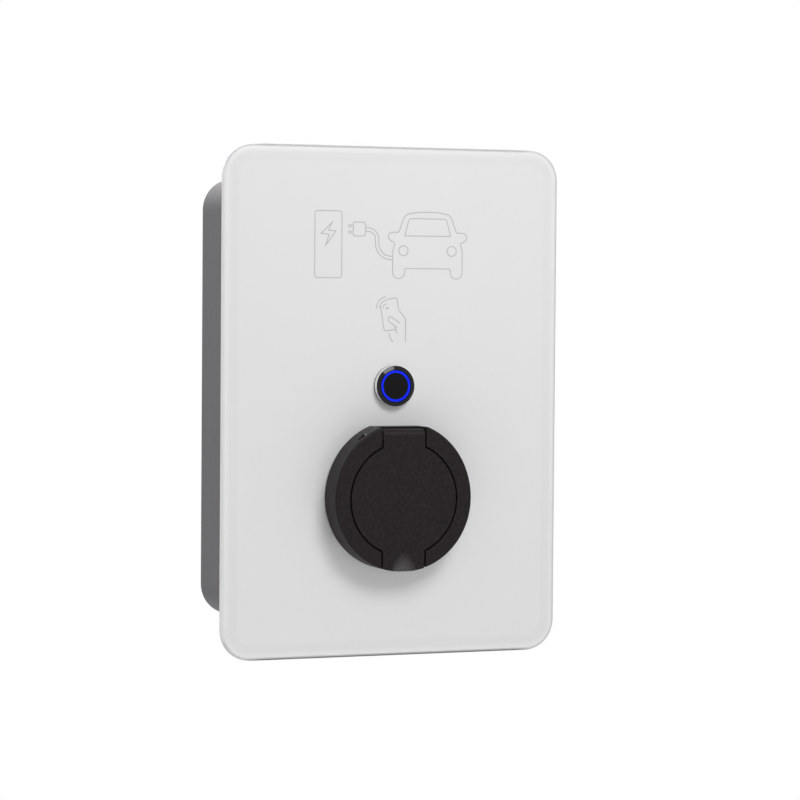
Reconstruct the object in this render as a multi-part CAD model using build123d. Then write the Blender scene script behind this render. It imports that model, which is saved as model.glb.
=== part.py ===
"""EV wallbox: glass front on a metal enclosure, lidded socket outlet, lit push-button."""
import os
from math import cos, radians, sin, sqrt

from build123d import *

# Lengths are in millimetres. Depths are measured outwards from the wall, along -Y.

# Glass front and enclosure
PANEL_WIDTH = 225.0
PANEL_HEIGHT = 320.0
PANEL_CORNER = 19.5
PANEL_DEPTH = 100.0
GLASS_THICKNESS = 4.0
BORDER_WIDTH = 10.0
BORDER_DROP = 0.6
GLASS_EDGE_ROUND = 1.2
GLASS_BACK_CHAMFER = 0.6
CARRIER_THICKNESS = 1.5
CARRIER_FLANGE = 12.5
SEAL_THICKNESS = 2.5
SEAL_WIDTH = 3.0
ENCLOSURE_WIDTH = 188.0
ENCLOSURE_HEIGHT = 282.0
ENCLOSURE_CORNER = 20.0
ENCLOSURE_WALL = 2.0
ENCLOSURE_BEND = 2.0

# Wall fixing, front screws and earthing
WALL_HOLE_SPACING_X = 140.0
WALL_HOLE_SPACING_Z = 236.0
WALL_HOLE_DIAMETER = 7.0
FRONT_SCREW_DIAMETER = 4.0
FRONT_SCREW_SPACING = 120.0
FRONT_SCREW_LENGTH = 9.0
EARTH_STUD_DIAMETER = 6.0
EARTH_STUD_LENGTH = 18.0
EARTH_STUD_OFFSET = 24.0

# Socket outlet
SOCKET_Z = -60.0
SOCKET_DIAMETER = 90.8
SOCKET_PROUD = 21.0
SOCKET_EDGE_ROUND = 1.2
HINGE_FLAT_HEIGHT = 44.9
SHOULDER_HEIGHT = 48.0
GASKET_THICKNESS = 1.5
GASKET_INSET = 1.4
NECK_DIAMETER = 68.0
NECK_LENGTH = 39.5
NECK_HOLE_CLEARANCE = 1.0
FLANGE_CLEARANCE = 0.05
PLUG_DIAMETER = 57.0
PLUG_FLAT_HEIGHT = 22.8
GROOVE_WIDTH = 6.5
ISLAND_SETBACK = 16.0
ISLAND_CHAMFER = 0.8
ISLAND_SEAT = 4.0
SEAT_CLEARANCE = 0.1
BASE_THICKNESS = 8.0
BASE_FLANGE = 3.0
BASE_SCREW_DIAMETER = 2.9
BASE_SCREW_REACH = 9.0
BASE_SCREW_HEAD = 2.0
RING_NUT_THICKNESS = 8.0
RING_NUT_RIM = 9.0

# Lid and hinge
LID_DIAMETER = 70.0
LID_THICKNESS = 5.0
LID_GAP = 0.8
LID_DRAFT = 1.6
LID_EDGE_ROUND = 0.5
TAB_WIDTH = 28.0
HINGE_HEIGHT = 39.2
HINGE_SETBACK = 5.0
BARREL_RADIUS = 4.5
HINGE_PIN_DIAMETER = 3.0
PIN_CLEARANCE = 0.05
PIN_HOLE_DIAMETER = 5.2
PIN_RECESS = 1.8
PIN_SEAT = 4.5
SEAL_RING_THICKNESS = 2.0
SEAL_RING_WIDTH = 3.6
SEAL_RING_GAP = 0.3
SCOOP_RADIUS = 9.0
SCOOP_TILT = 15.0
SCOOP_HEIGHT = 11.8
LID_SPRING_RADIUS = 2.5
LID_SPRING_WIRE = 0.8
LID_SPRING_LENGTH = 4.4
LID_SPRING_LEG = 8.0

# Contacts, in the front view from the socket's centre
CONTACT_PITCH = 7.5
CONTACT_LOWER = 13.0
CONTACT_UPPER = 11.5
SIGNAL_SPACING = 22.0
POWER_PIN_DIAMETER = 6.2
SIGNAL_PIN_DIAMETER = 3.2
CONTACT_WALL = 1.4
CONTACT_CLEARANCE = 0.1
CONTACT_SETBACK = 3.0
CONTACT_COLLAR = 2.0
TAIL_LENGTH = 14.0

# Plug lock
LOCK_PIN_DIAMETER = 6.0
LOCK_SLIDE_CLEARANCE = 0.1
LOCK_TRAVEL = 6.0
LOCK_BODY_WIDTH = 34.0
LOCK_BODY_HEIGHT = 38.0
LOCK_EAR = 2.0
LOCK_EAR_WIDTH = 8.0

# Push-button
BUTTON_Z = 10.0
BUTTON_DIAMETER = 25.4
BUTTON_PROUD = 5.7
BUTTON_BARREL_DIAMETER = 22.0
BUTTON_BARREL_LENGTH = 16.0
BUTTON_BEVEL = 0.8
BUTTON_SEAL = 1.2
BUTTON_SEAL_INSET = 0.1
CAP_DIAMETER = 16.8
RING_DIAMETER = 19.4
BUTTON_TRAVEL = 2.0
BUTTON_SPRING_RADIUS = 5.5
BUTTON_SPRING_WIRE = 0.9
BUTTON_NUT_THICKNESS = 5.0
CAP_THICKNESS = 5.0
PLUNGER_THICKNESS = 2.7
STEM_DIAMETER = 6.0
STEM_REACH = 3.0
SWITCH_LENGTH = 24.0
BLADE_LENGTH = 6.0
BLADE_SPACING = 10.0

# Electronics
BOARD_WIDTH = 150.0
BOARD_HEIGHT = 200.0
BOARD_THICKNESS = 1.6
BOARD_STANDOFF = 10.0
BOARD_Z = 0.0
BOARD_CORNER = 3.0
BOARD_SCREW_DIAMETER = 2.9
BOARD_SCREW_INSET = 6.0
SPACER_DIAMETER = 7.0
RELAY_WIDTH = 28.0
RELAY_HEIGHT = 36.0
RELAY_TALL = 24.0
RELAY_GAP = 4.0
RELAY_MARGIN = 18.0
MODULE_X = -46.0
MODULE_Z = 8.0
MODULE_WIDTH = 42.0
MODULE_HEIGHT = 28.0
MODULE_TALL = 20.0
SENSOR_X = 48.0
SENSOR_Z = 8.0
SENSOR_WIDTH = 36.0
SENSOR_HEIGHT = 34.0
SENSOR_TALL = 22.0
SENSOR_HOLE_DIAMETER = 14.0
CAN_X = -52.0
CAN_Z = -24.0
CAN_PITCH = 15.0
CAN_DIAMETER = 12.0
CAN_TALL = 26.0
SUPPLY_PITCH = 11.0
SUPPLY_HEIGHT = 20.0
SUPPLY_TALL = 24.0
SUPPLY_MARGIN = 1.0
SUPPLY_ENTRY_DIAMETER = 7.2
OUTLET_Z = -6.0
OUTLET_HEIGHT = 14.0
OUTLET_TALL = 20.0
RADIO_X = 56.0
RADIO_WIDTH = 18.0
RADIO_HEIGHT = 16.0
RADIO_TALL = 3.2
HEADER_WIDTH = 12.0
HEADER_HEIGHT = 6.0
LEAD_CLEARANCE = 1.9
READER_HEADER_Z = 28.0
LEAD_DIAMETER = 4.4
SIGNAL_LEAD_DIAMETER = 1.6
READER_LEAD_DIAMETER = 3.6
READER_WIDTH = 60.0
READER_HEIGHT = 44.0
READER_Z = 50.0
READER_PLUG_TALL = 5.0

# Cable gland
GLAND_DEPTH = 35.0
GLAND_THREAD_DIAMETER = 25.0
GLAND_BORE_DIAMETER = 18.0
GLAND_FLATS = 30.0
GLAND_HEXAGON = 5.0
GLAND_THREAD_LENGTH = 8.0
GLAND_SLEEVE = 4.0
GLAND_CAP_LENGTH = 14.0
GLAND_CAP_ROUND = 3.5
GLAND_CAP_LIP = 3.0

# Planes that follow from the sizes above
glass_back = PANEL_DEPTH - GLASS_THICKNESS
carrier_back = glass_back - CARRIER_THICKNESS
rim = carrier_back - SEAL_THICKNESS
socket_front = PANEL_DEPTH + SOCKET_PROUD
bezel_back = PANEL_DEPTH + GASKET_THICKNESS
neck_back = bezel_back - NECK_LENGTH
lid_back = socket_front - LID_THICKNESS
seat = lid_back - SEAL_RING_THICKNESS - SEAL_RING_GAP
island_front = socket_front - ISLAND_SETBACK
cavity_floor = neck_back + BASE_THICKNESS
island_back = cavity_floor - ISLAND_SEAT
base_back = neck_back - BASE_FLANGE
tail_end = base_back - TAIL_LENGTH
hinge_depth = socket_front - HINGE_SETBACK
socket_hole = NECK_DIAMETER / 2 + NECK_HOLE_CLEARANCE
button_hole = BUTTON_BARREL_DIAMETER / 2 + 0.2
board_back = ENCLOSURE_WALL + BOARD_STANDOFF
board_front = board_back + BOARD_THICKNESS
wiring_room = tail_end - board_front
lead_depth = board_front + 0.4 * wiring_room
lead_bend = 0.28 * wiring_room
header_front = lead_depth - LEAD_DIAMETER / 2 - LEAD_CLEARANCE
header_tall = header_front - board_front
floor_z = -ENCLOSURE_HEIGHT / 2
plug_radius = PLUG_DIAMETER / 2
island_radius = plug_radius - GROOVE_WIDTH

parts = {}


def slab(outline, back, front):
    """A front-view outline between two depths."""
    return extrude(Plane.XZ.offset(back) * outline, front - back)


def disc(radius, back, front, x=0.0, z=0.0):
    """A round piece with its axis along the depth."""
    return slab(Pos(x, z) * Circle(radius), back, front)


def block(x_span, depth_span, z_span):
    """A rectangular piece given by its three spans."""
    width = x_span[1] - x_span[0]
    depth = depth_span[1] - depth_span[0]
    height = z_span[1] - z_span[0]
    centre = Pos(sum(x_span) / 2, -sum(depth_span) / 2, sum(z_span) / 2)
    return centre * Box(width, depth, height)


def around(x, z, width, height):
    """The spans of a rectangle from its centre."""
    return (x - width / 2, x + width / 2), (z - height / 2, z + height / 2)


def cross_bar(radius, x_span, depth, z):
    """A round piece with its axis along X."""
    place = Pos(sum(x_span) / 2, -depth, z) * Rot(0, 90, 0)
    return place * Cylinder(radius, x_span[1] - x_span[0])


def post(radius, z_span, x, depth):
    """A round piece with its axis upright."""
    return Pos(x, -depth, sum(z_span) / 2) * Cylinder(radius, z_span[1] - z_span[0])


def turned(points, x=0.0, z=0.0):
    """A turned piece from radius and depth points."""
    profile = make_face(Polyline([(r, -d) for r, d in points], close=True))
    return Pos(x, 0, z) * revolve(profile, Axis.Y)


def sheet(width, height, corner):
    """A rounded rectangle in the front view."""
    return RectangleRounded(width, height, corner)


def inset(amount):
    """The enclosure's outline, moved inwards."""
    width = ENCLOSURE_WIDTH - 2 * amount
    height = ENCLOSURE_HEIGHT - 2 * amount
    return sheet(width, height, ENCLOSURE_CORNER - amount)


def group(pieces):
    """Separate solids kept together as one named piece."""
    return Compound([solid for piece in pieces for solid in piece.solids()])


def flat_topped(radius, flat):
    """A circle with a flat on top."""
    return Circle(radius) - Pos(0, flat + radius) * Rectangle(2 * radius, 2 * radius)


def shouldered(radius, shoulder, flat):
    """A half circle below and half an ellipse above, with a flat on top."""
    lower = Circle(radius) & Pos(0, -radius / 2) * Rectangle(2 * radius, radius)
    upper = Ellipse(radius, shoulder) & Pos(0, flat / 2) * Rectangle(2 * radius, flat)
    return lower + upper


def corners(spacing_x, spacing_z):
    """Four places on a rectangle."""
    xs = (-spacing_x / 2, spacing_x / 2)
    zs = (-spacing_z / 2, spacing_z / 2)
    return [(x, z) for x in xs for z in zs]


def lead(points, radius, bend):
    """A round conductor along straight runs and bends, from x, depth and z points."""
    path = FilletPolyline([(x, -d, z) for x, d, z in points], radius=bend)
    return sweep(Plane(origin=path @ 0, z_dir=path % 0) * Circle(radius), path=path)


def coil(radius, wire, length, turns):
    """A spring of rectangular wire around the local Z axis."""
    path = Helix(pitch=length / turns, height=length, radius=radius)
    section = Plane(origin=path @ 0, x_dir=(1, 0, 0), z_dir=path % 0)
    return sweep(section * Rectangle(wire, wire), path=path, is_frenet=True)


# Glass front: a sheet with a shallow curved border and two holes
def panel_path():
    """The panel's outer edge, from the middle of its right side."""
    x = PANEL_WIDTH / 2
    z = PANEL_HEIGHT / 2
    reach_x = x - PANEL_CORNER
    reach_z = z - PANEL_CORNER
    bend = PANEL_CORNER
    curve = Line((x, 0), (x, reach_z))
    curve += JernArc(curve @ 1, curve % 1, bend, 90)
    curve += Line((reach_x, z), (-reach_x, z))
    curve += JernArc((-reach_x, z), (-1, 0), bend, 90)
    curve += Line((-x, reach_z), (-x, -reach_z))
    curve += JernArc((-x, -reach_z), (0, -1), bend, 90)
    curve += Line((-reach_x, -z), (reach_x, -z))
    curve += JernArc((reach_x, -z), (1, 0), bend, 90)
    curve += Line((x, -reach_z), (x, 0))
    return Plane.XZ.offset(PANEL_DEPTH) * curve


def border_cut():
    """What the curved border takes off the sheet's front edge, seen along the edge."""
    edge = PANEL_WIDTH / 2
    face = -PANEL_DEPTH
    turn = GLASS_EDGE_ROUND
    inner = (edge - BORDER_WIDTH, face)
    shoulder = (edge - turn, face + BORDER_DROP)
    side = (edge, face + BORDER_DROP + turn)
    run = BORDER_WIDTH - turn
    sag = (run**2 + BORDER_DROP**2) / (2 * BORDER_DROP)
    curve = RadiusArc(inner, shoulder, -sag)
    curve += RadiusArc(shoulder, side, -turn)
    curve += Polyline(side, (edge + 3, side[1]), (edge + 3, face - 3), (inner[0], face - 3), inner)
    return make_face(curve)


sheet_blank = slab(sheet(PANEL_WIDTH, PANEL_HEIGHT, PANEL_CORNER), glass_back, PANEL_DEPTH)
back_edges = sheet_blank.faces().sort_by(Axis.Y)[-1].edges()
glass = chamfer(back_edges, GLASS_BACK_CHAMFER)
glass -= sweep(border_cut(), path=panel_path())
glass -= disc(socket_hole, glass_back - 1, PANEL_DEPTH + 1, 0, SOCKET_Z)
glass -= disc(button_hole, glass_back - 1, PANEL_DEPTH + 1, 0, BUTTON_Z)
parts["glass_panel"] = glass

# Tray behind the glass, with a return flange inside the enclosure
flange_inset = SEAL_WIDTH + 0.2
screw_depth = carrier_back - CARRIER_FLANGE * 0.6
carrier = slab(inset(0), carrier_back, glass_back)
carrier += slab(inset(flange_inset), carrier_back - CARRIER_FLANGE, carrier_back)
pan = inset(flange_inset + CARRIER_THICKNESS)
carrier -= slab(pan, carrier_back - CARRIER_FLANGE - 1, carrier_back)
carrier -= disc(socket_hole, carrier_back - 1, glass_back + 1, 0, SOCKET_Z)
carrier -= disc(button_hole, carrier_back - 1, glass_back + 1, 0, BUTTON_Z)
window_x, window_z = around(0, READER_Z, READER_WIDTH + 2, READER_HEIGHT + 2)
carrier -= block(window_x, (carrier_back - 1, glass_back + 1), window_z)
strip = slab(inset(0) - inset(SEAL_WIDTH), rim, carrier_back)
parts["front_seal"] = strip

# Enclosure: one deep box with a closed back
shell_blank = slab(inset(0), 0, rim)
shell = fillet(shell_blank.faces().sort_by(Axis.Y)[-1].edges(), ENCLOSURE_BEND)
shell -= slab(inset(ENCLOSURE_WALL), ENCLOSURE_WALL, rim + 1)
for x, z in corners(WALL_HOLE_SPACING_X, WALL_HOLE_SPACING_Z):
    shell -= disc(WALL_HOLE_DIAMETER / 2, -1, ENCLOSURE_WALL + 1, x, z)
gland_hole = GLAND_THREAD_DIAMETER / 2 + 0.15
shell -= post(gland_hole, (floor_z - 1, floor_z + ENCLOSURE_WALL + 1), 0, GLAND_DEPTH)

# Screws through the top and bottom walls into the tray's flange
screw_radius = FRONT_SCREW_DIAMETER / 2
front_screws = []
for x, side in corners(FRONT_SCREW_SPACING, 2):
    outer = side * ENCLOSURE_HEIGHT / 2
    inner = outer - side * FRONT_SCREW_LENGTH
    head = outer + side * screw_radius * 1.1
    span = (min(outer, inner), max(outer, inner))
    shell -= post(screw_radius + 0.2, span, x, screw_depth)
    carrier -= post(screw_radius + 0.05, span, x, screw_depth)
    screw = post(screw_radius, span, x, screw_depth)
    screw += post(screw_radius * 1.9, (min(outer, head), max(outer, head)), x, screw_depth)
    front_screws.append(screw)
parts["enclosure_body"] = shell
parts["front_carrier"] = carrier
parts["front_screws"] = group(front_screws)

# Earthing stud with its nut, low on the back wall
stud_x = -WALL_HOLE_SPACING_X / 2 + EARTH_STUD_OFFSET
stud_z = -WALL_HOLE_SPACING_Z / 2
stud_radius = EARTH_STUD_DIAMETER / 2
stud_front = ENCLOSURE_WALL + EARTH_STUD_LENGTH
stud = disc(stud_radius, ENCLOSURE_WALL, stud_front, stud_x, stud_z)
nut_face = Pos(stud_x, stud_z) * RegularPolygon(stud_radius * 1.9, 6)
stud += slab(nut_face, ENCLOSURE_WALL, ENCLOSURE_WALL + stud_radius * 1.7)
parts["earth_stud"] = stud

# Socket bezel: a ring with a flat above the hinge, lid recess and hinge pocket
bezel_radius = SOCKET_DIAMETER / 2
recess_radius = LID_DIAMETER / 2 + LID_GAP
slot_half = TAB_WIDTH / 2 + LID_GAP
pocket_back = hinge_depth - BARREL_RADIUS - 1.1
bezel_outline = shouldered(bezel_radius, SHOULDER_HEIGHT, HINGE_FLAT_HEIGHT)
bezel = slab(bezel_outline, bezel_back, socket_front)
bezel = fillet(bezel.faces().sort_by(Axis.Y)[0].edges(), SOCKET_EDGE_ROUND)
recess = slab(Circle(recess_radius), pocket_back, socket_front + 1)
slot_floor = lid_back - SEAL_RING_GAP
slot_span = (-bezel_radius - 1, HINGE_FLAT_HEIGHT + 5)
recess += block((-slot_half, slot_half), (slot_floor, socket_front + 1), slot_span)
pocket_span = (HINGE_HEIGHT - BARREL_RADIUS - 1, HINGE_FLAT_HEIGHT + 5)
pocket = block((-slot_half, slot_half), (pocket_back, socket_front + 1), pocket_span)
bezel -= recess + pocket
front_faces = bezel.faces().filter_by(Axis.Y).group_by(Axis.Y)[0]
front_edges = [e for f in front_faces for e in f.edges()]
rims = [e for e in front_edges if e.geom_type == GeomType.LINE and abs(e.center().X) < slot_half + 0.01]
arcs = [e for e in front_edges if e.geom_type == GeomType.CIRCLE]
rims += [e for e in arcs if abs(e.radius - recess_radius) < 0.01]
bezel = fillet(rims, LID_EDGE_ROUND)
neck_radius = NECK_DIAMETER / 2
bezel -= disc(neck_radius + FLANGE_CLEARANCE, bezel_back - 1, pocket_back + 1)
pin_radius = HINGE_PIN_DIAMETER / 2
pin_start = -bezel_radius * sqrt(1 - (HINGE_HEIGHT / SHOULDER_HEIGHT) ** 2) + PIN_RECESS
pin_end = slot_half + PIN_SEAT
bezel -= cross_bar(pin_radius + PIN_CLEARANCE, (pin_start, pin_end), hinge_depth, HINGE_HEIGHT)
entry = (-bezel_radius, pin_start)
bezel -= cross_bar(PIN_HOLE_DIAMETER / 2, entry, hinge_depth, HINGE_HEIGHT)

# Socket neck: a tube with the plug cavity, its flange clamps the bezel to the glass
plug_outline = flat_topped(plug_radius, PLUG_FLAT_HEIGHT)
island_flat = PLUG_FLAT_HEIGHT - GROOVE_WIDTH + 0.7
base_radius = plug_radius + 0.9
neck = disc(neck_radius, neck_back, pocket_back)
neck += disc(recess_radius - FLANGE_CLEARANCE, pocket_back, seat)
neck -= pocket
neck -= slab(plug_outline, cavity_floor, seat + 1)
neck -= disc(base_radius + SEAT_CLEARANCE, neck_back - 1, cavity_floor)

# Lid: round flap with a rim that tapers to the back, a hinge tab, a lower tab and a thumb scoop
tab_top = HINGE_HEIGHT + BARREL_RADIUS
upper_tab = Pos(0, tab_top / 2) * Rectangle(TAB_WIDTH, tab_top)
lower_tab = Pos(0, -bezel_radius / 2) * Rectangle(TAB_WIDTH, bezel_radius)
lower_tab &= Circle(bezel_radius - 0.1)
lid_radius = LID_DIAMETER / 2
lid = turned(
    [
        (0, lid_back),
        (lid_radius - LID_DRAFT, lid_back),
        (lid_radius, socket_front - 1.2 * LID_EDGE_ROUND),
        (lid_radius, socket_front),
        (0, socket_front),
    ]
)
lid += slab(upper_tab + lower_tab, lid_back, socket_front)
top_edge = lid.edges().filter_by(Axis.X).sort_by(Axis.Z)[-2:].sort_by(Axis.Y)[0]
lid = fillet(top_edge, BARREL_RADIUS - 0.5)
lid_face = lid.faces().sort_by(Axis.Y)[0]
rounds = [e for e in lid_face.edges() if abs(e.tangent_at(0.5).X) < 0.99 or e.center().Z < 0]
lid = fillet(rounds, LID_EDGE_ROUND)
barrel_half = TAB_WIDTH / 2
lid += cross_bar(BARREL_RADIUS, (-barrel_half, barrel_half), hinge_depth, HINGE_HEIGHT)
rib_radius = base_radius
lid += slab(Circle(rib_radius) - Circle(rib_radius - 2.5), seat + 0.2, lid_back)
lid -= cross_bar(pin_radius + PIN_CLEARANCE, (-TAB_WIDTH, TAB_WIDTH), hinge_depth, HINGE_HEIGHT)
scoop_top = -bezel_radius + SCOOP_HEIGHT
scoop = Pos(0, -socket_front, scoop_top) * Rot(SCOOP_TILT, 0, 0)
lid -= scoop * Pos(0, -SCOOP_RADIUS, 0) * Cylinder(SCOOP_RADIUS, 4 * SCOOP_HEIGHT)

# Torsion spring on the hinge pin: one leg in the lid, the other in the bezel
spring_start = -LID_SPRING_LENGTH / 2
spring_end = spring_start + LID_SPRING_LENGTH
room = LID_SPRING_RADIUS + 0.9
spring_room = (spring_start - 1, spring_end + 1)
lid -= cross_bar(room, spring_room, hinge_depth, HINGE_HEIGHT)
barrel_span = (HINGE_HEIGHT - BARREL_RADIUS - 1, HINGE_HEIGHT + BARREL_RADIUS + 1)
lid -= block(spring_room, (pocket_back, hinge_depth), barrel_span)
hole_half = LID_SPRING_WIRE / 2 + 0.1
lid_leg = hinge_depth + LID_SPRING_RADIUS
leg_span = (HINGE_HEIGHT - LID_SPRING_LEG - 0.2, HINGE_HEIGHT)
lid -= block(
    (spring_end - hole_half, spring_end + hole_half),
    (lid_leg - hole_half, lid_leg + hole_half),
    leg_span,
)
bezel_leg = HINGE_HEIGHT + LID_SPRING_RADIUS
bezel -= block(
    (spring_start - hole_half, spring_start + hole_half),
    (hinge_depth - LID_SPRING_LEG - 0.2, hinge_depth),
    (bezel_leg - hole_half, bezel_leg + hole_half),
)
spring = coil(LID_SPRING_RADIUS, LID_SPRING_WIRE, LID_SPRING_LENGTH, 3.25)
wire = LID_SPRING_WIRE
spring += Pos(LID_SPRING_RADIUS, -LID_SPRING_LEG / 2, 0) * Box(wire, LID_SPRING_LEG, wire)
far_leg = Pos(-LID_SPRING_LEG / 2, LID_SPRING_RADIUS, LID_SPRING_LENGTH)
spring += far_leg * Box(LID_SPRING_LEG, wire, wire)
spring_place = Plane(
    origin=(spring_start, -hinge_depth, HINGE_HEIGHT), x_dir=(0, 0, 1), z_dir=(1, 0, 0)
)
at_socket = Pos(0, 0, SOCKET_Z)
parts["lid_spring"] = at_socket * (spring_place * spring)
parts["socket_lid"] = at_socket * lid
parts["socket_bezel"] = at_socket * bezel
pin = cross_bar(pin_radius, (pin_start, pin_end), hinge_depth, HINGE_HEIGHT)
parts["hinge_pin"] = at_socket * pin

# Seals of the socket and the ring nut behind the tray
seal_inner = rib_radius + 0.1
ring = slab(Circle(seal_inner + SEAL_RING_WIDTH) - Circle(seal_inner), lid_back - SEAL_RING_THICKNESS, lid_back)
parts["lid_seal"] = at_socket * ring
gasket_outline = shouldered(
    bezel_radius - GASKET_INSET, SHOULDER_HEIGHT - GASKET_INSET, HINGE_FLAT_HEIGHT - GASKET_INSET
)
gasket = slab(gasket_outline - Circle(socket_hole), PANEL_DEPTH, bezel_back)
parts["socket_gasket"] = at_socket * gasket
nut_inner = neck_radius + SEAT_CLEARANCE
nut_outer = nut_inner + RING_NUT_RIM
ring_nut = slab(Circle(nut_outer) - Circle(nut_inner), carrier_back - RING_NUT_THICKNESS, carrier_back)
for step in range(6):
    notch = Rot(0, 60 * step, 0) * Pos(nut_outer, -carrier_back, 0)
    ring_nut -= notch * Box(RING_NUT_RIM * 0.8, 2.4 * RING_NUT_THICKNESS, RING_NUT_RIM)
parts["socket_ring_nut"] = at_socket * ring_nut

# Contact base on the neck's end, and the island with seven holes that stands in it
power_places = [
    (-2 * CONTACT_PITCH, 0.0),
    (-CONTACT_PITCH, -CONTACT_LOWER),
    (0.0, 0.0),
    (CONTACT_PITCH, -CONTACT_LOWER),
    (2 * CONTACT_PITCH, 0.0),
]
signal_places = [(-SIGNAL_SPACING / 2, CONTACT_UPPER), (SIGNAL_SPACING / 2, CONTACT_UPPER)]
contact_base = disc(base_radius, neck_back, cavity_floor) + disc(neck_radius, base_back, neck_back)
socket_outline = flat_topped(island_radius + SEAT_CLEARANCE, island_flat + SEAT_CLEARANCE)
contact_base -= slab(socket_outline, island_back, cavity_floor + 1)
island = slab(flat_topped(island_radius, island_flat), island_back, island_front)
island = chamfer(island.faces().sort_by(Axis.Y)[0].edges(), ISLAND_CHAMFER)


def contact(pin_diameter, x, z):
    """A tube contact with a collar and a solder tail."""
    bore = pin_diameter / 2
    outer = bore + CONTACT_WALL
    collar = outer + 0.8
    tail = outer - 0.9
    top = island_front - CONTACT_SETBACK
    points = [
        (0, tail_end),
        (tail, tail_end),
        (tail, base_back - CONTACT_COLLAR),
        (collar, base_back - CONTACT_COLLAR),
        (collar, base_back),
        (outer, base_back),
        (outer, top),
        (bore, top),
        (bore, cavity_floor),
        (0, cavity_floor),
    ]
    return turned(points, x, z)


def contacts(pin_diameter, places):
    """Like contacts, with the holes that they need in the island and its base."""
    holes = [disc(pin_diameter / 2 + CONTACT_WALL + CONTACT_CLEARANCE, base_back - 1, island_front + 1, x, z)
             for x, z in places]
    return group([contact(pin_diameter, x, z) for x, z in places]), holes


power_group, power_holes = contacts(POWER_PIN_DIAMETER, power_places)
signal_group, signal_holes = contacts(SIGNAL_PIN_DIAMETER, signal_places)
for hole in power_holes + signal_holes:
    contact_base -= hole
    island -= hole
parts["power_contacts"] = at_socket * power_group
parts["signal_contacts"] = at_socket * signal_group
parts["contact_island"] = at_socket * island

# Screws through the base into the neck, two of them through the lock's ears
screw_radius = BASE_SCREW_DIAMETER / 2
screw_pitch = (base_radius + neck_radius) / 2
screw_offset = screw_pitch * cos(radians(45))
base_screws = []
for x, z in corners(2 * screw_offset, 2 * screw_offset):
    bearing = base_back - LOCK_EAR if x > 0 else base_back
    tip = neck_back + BASE_SCREW_REACH
    contact_base -= disc(screw_radius + 0.15, base_back - 1, neck_back + 1, x, z)
    neck -= disc(screw_radius + 0.05, neck_back - 1, tip + 0.5, x, z)
    screw = disc(screw_radius, bearing, tip, x, z)
    base_screws.append(screw + disc(screw_radius * 1.8, bearing - BASE_SCREW_HEAD, bearing, x, z))
parts["contact_base_screws"] = at_socket * group(base_screws)
parts["contact_base"] = at_socket * contact_base

# Plug lock: drive beside the neck, pin sliding into the plug's groove
lock_depth = cavity_floor + LOCK_PIN_DIAMETER / 2 + 4
lock_bore = LOCK_PIN_DIAMETER / 2 + LOCK_SLIDE_CLEARANCE
lock_x = neck_radius + 0.3
lock_tip = plug_radius + 1
lock_tail = lock_tip + LOCK_TRAVEL + 11
neck -= cross_bar(lock_bore, (plug_radius - 2, neck_radius + 1), lock_depth, 0)
lock_front = carrier_back - RING_NUT_THICKNESS - 0.5
half = LOCK_BODY_HEIGHT / 2
drive = block((lock_x, lock_x + LOCK_BODY_WIDTH), (base_back, lock_front), (-half, half))
drive = fillet(drive.edges().filter_by(Axis.Y), 2)
ear_half = LOCK_EAR_WIDTH / 2
ear_reach = screw_offset + ear_half
ear_inner = 2 * CONTACT_PITCH + POWER_PIN_DIAMETER / 2 + CONTACT_WALL + 2
plate_span = (base_back - LOCK_EAR, base_back)
drive += block((ear_inner, lock_x + LOCK_BODY_WIDTH), plate_span, (-ear_reach, ear_reach))
for side in (-1, 1):
    ear_z = side * screw_offset
    drive += block((screw_offset - ear_half, ear_inner + 1), plate_span, (ear_z - ear_half, ear_z + ear_half))
    drive -= disc(screw_radius + 0.15, base_back - LOCK_EAR - 1, base_back + 1, screw_offset, ear_z)
drive -= cross_bar(lock_bore, (lock_x - 1, lock_tail + 1), lock_depth, 0)
lock_pin = cross_bar(LOCK_PIN_DIAMETER / 2, (lock_tip, lock_tail), lock_depth, 0)
parts["socket_neck"] = at_socket * neck
parts["lock_actuator"] = at_socket * drive
parts["lock_pin"] = at_socket * lock_pin

# Push-button: bezel with barrel, plunger cap, lit ring, spring, nut and switch block
at_button = Pos(0, 0, BUTTON_Z)
head_radius = BUTTON_DIAMETER / 2
barrel_radius = BUTTON_BARREL_DIAMETER / 2
button_front = PANEL_DEPTH + BUTTON_PROUD
head_back = PANEL_DEPTH + BUTTON_SEAL
barrel_back = PANEL_DEPTH - BUTTON_BARREL_LENGTH
well = RING_DIAMETER / 2 + 0.1
cap_radius = CAP_DIAMETER / 2
cap_front = button_front - 0.5
plunger_top = cap_front - CAP_THICKNESS
plunger_base = plunger_top - PLUNGER_THICKNESS
body = turned(
    [
        (well, button_front),
        (well + 0.6, button_front),
        (head_radius, button_front - BUTTON_BEVEL),
        (head_radius, head_back),
        (barrel_radius, head_back),
        (barrel_radius, barrel_back),
        (well, barrel_back),
    ]
)
parts["button_body"] = at_button * body
stem = STEM_DIAMETER / 2
stem_end = barrel_back - STEM_REACH
cap = turned(
    [
        (0, cap_front),
        (cap_radius, cap_front),
        (cap_radius, plunger_top),
        (RING_DIAMETER / 2, plunger_top),
        (RING_DIAMETER / 2, plunger_base),
        (stem, plunger_base),
        (stem, stem_end),
        (0, stem_end),
    ]
)
parts["button_cap"] = at_button * cap
glow = slab(Circle(RING_DIAMETER / 2) - Circle(cap_radius + 0.02), plunger_top, cap_front + 0.1)
parts["button_light_ring"] = at_button * glow
washer_face = Circle(head_radius - BUTTON_SEAL_INSET) - Circle(barrel_radius + 0.05)
washer = slab(washer_face, PANEL_DEPTH, head_back)
parts["button_gasket"] = at_button * washer
nut_face = RegularPolygon(barrel_radius * 1.23, 6, major_radius=False) - Circle(barrel_radius + 0.05)
parts["button_nut"] = at_button * slab(nut_face, carrier_back - BUTTON_NUT_THICKNESS, carrier_back)
switch_back = barrel_back - SWITCH_LENGTH
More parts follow.
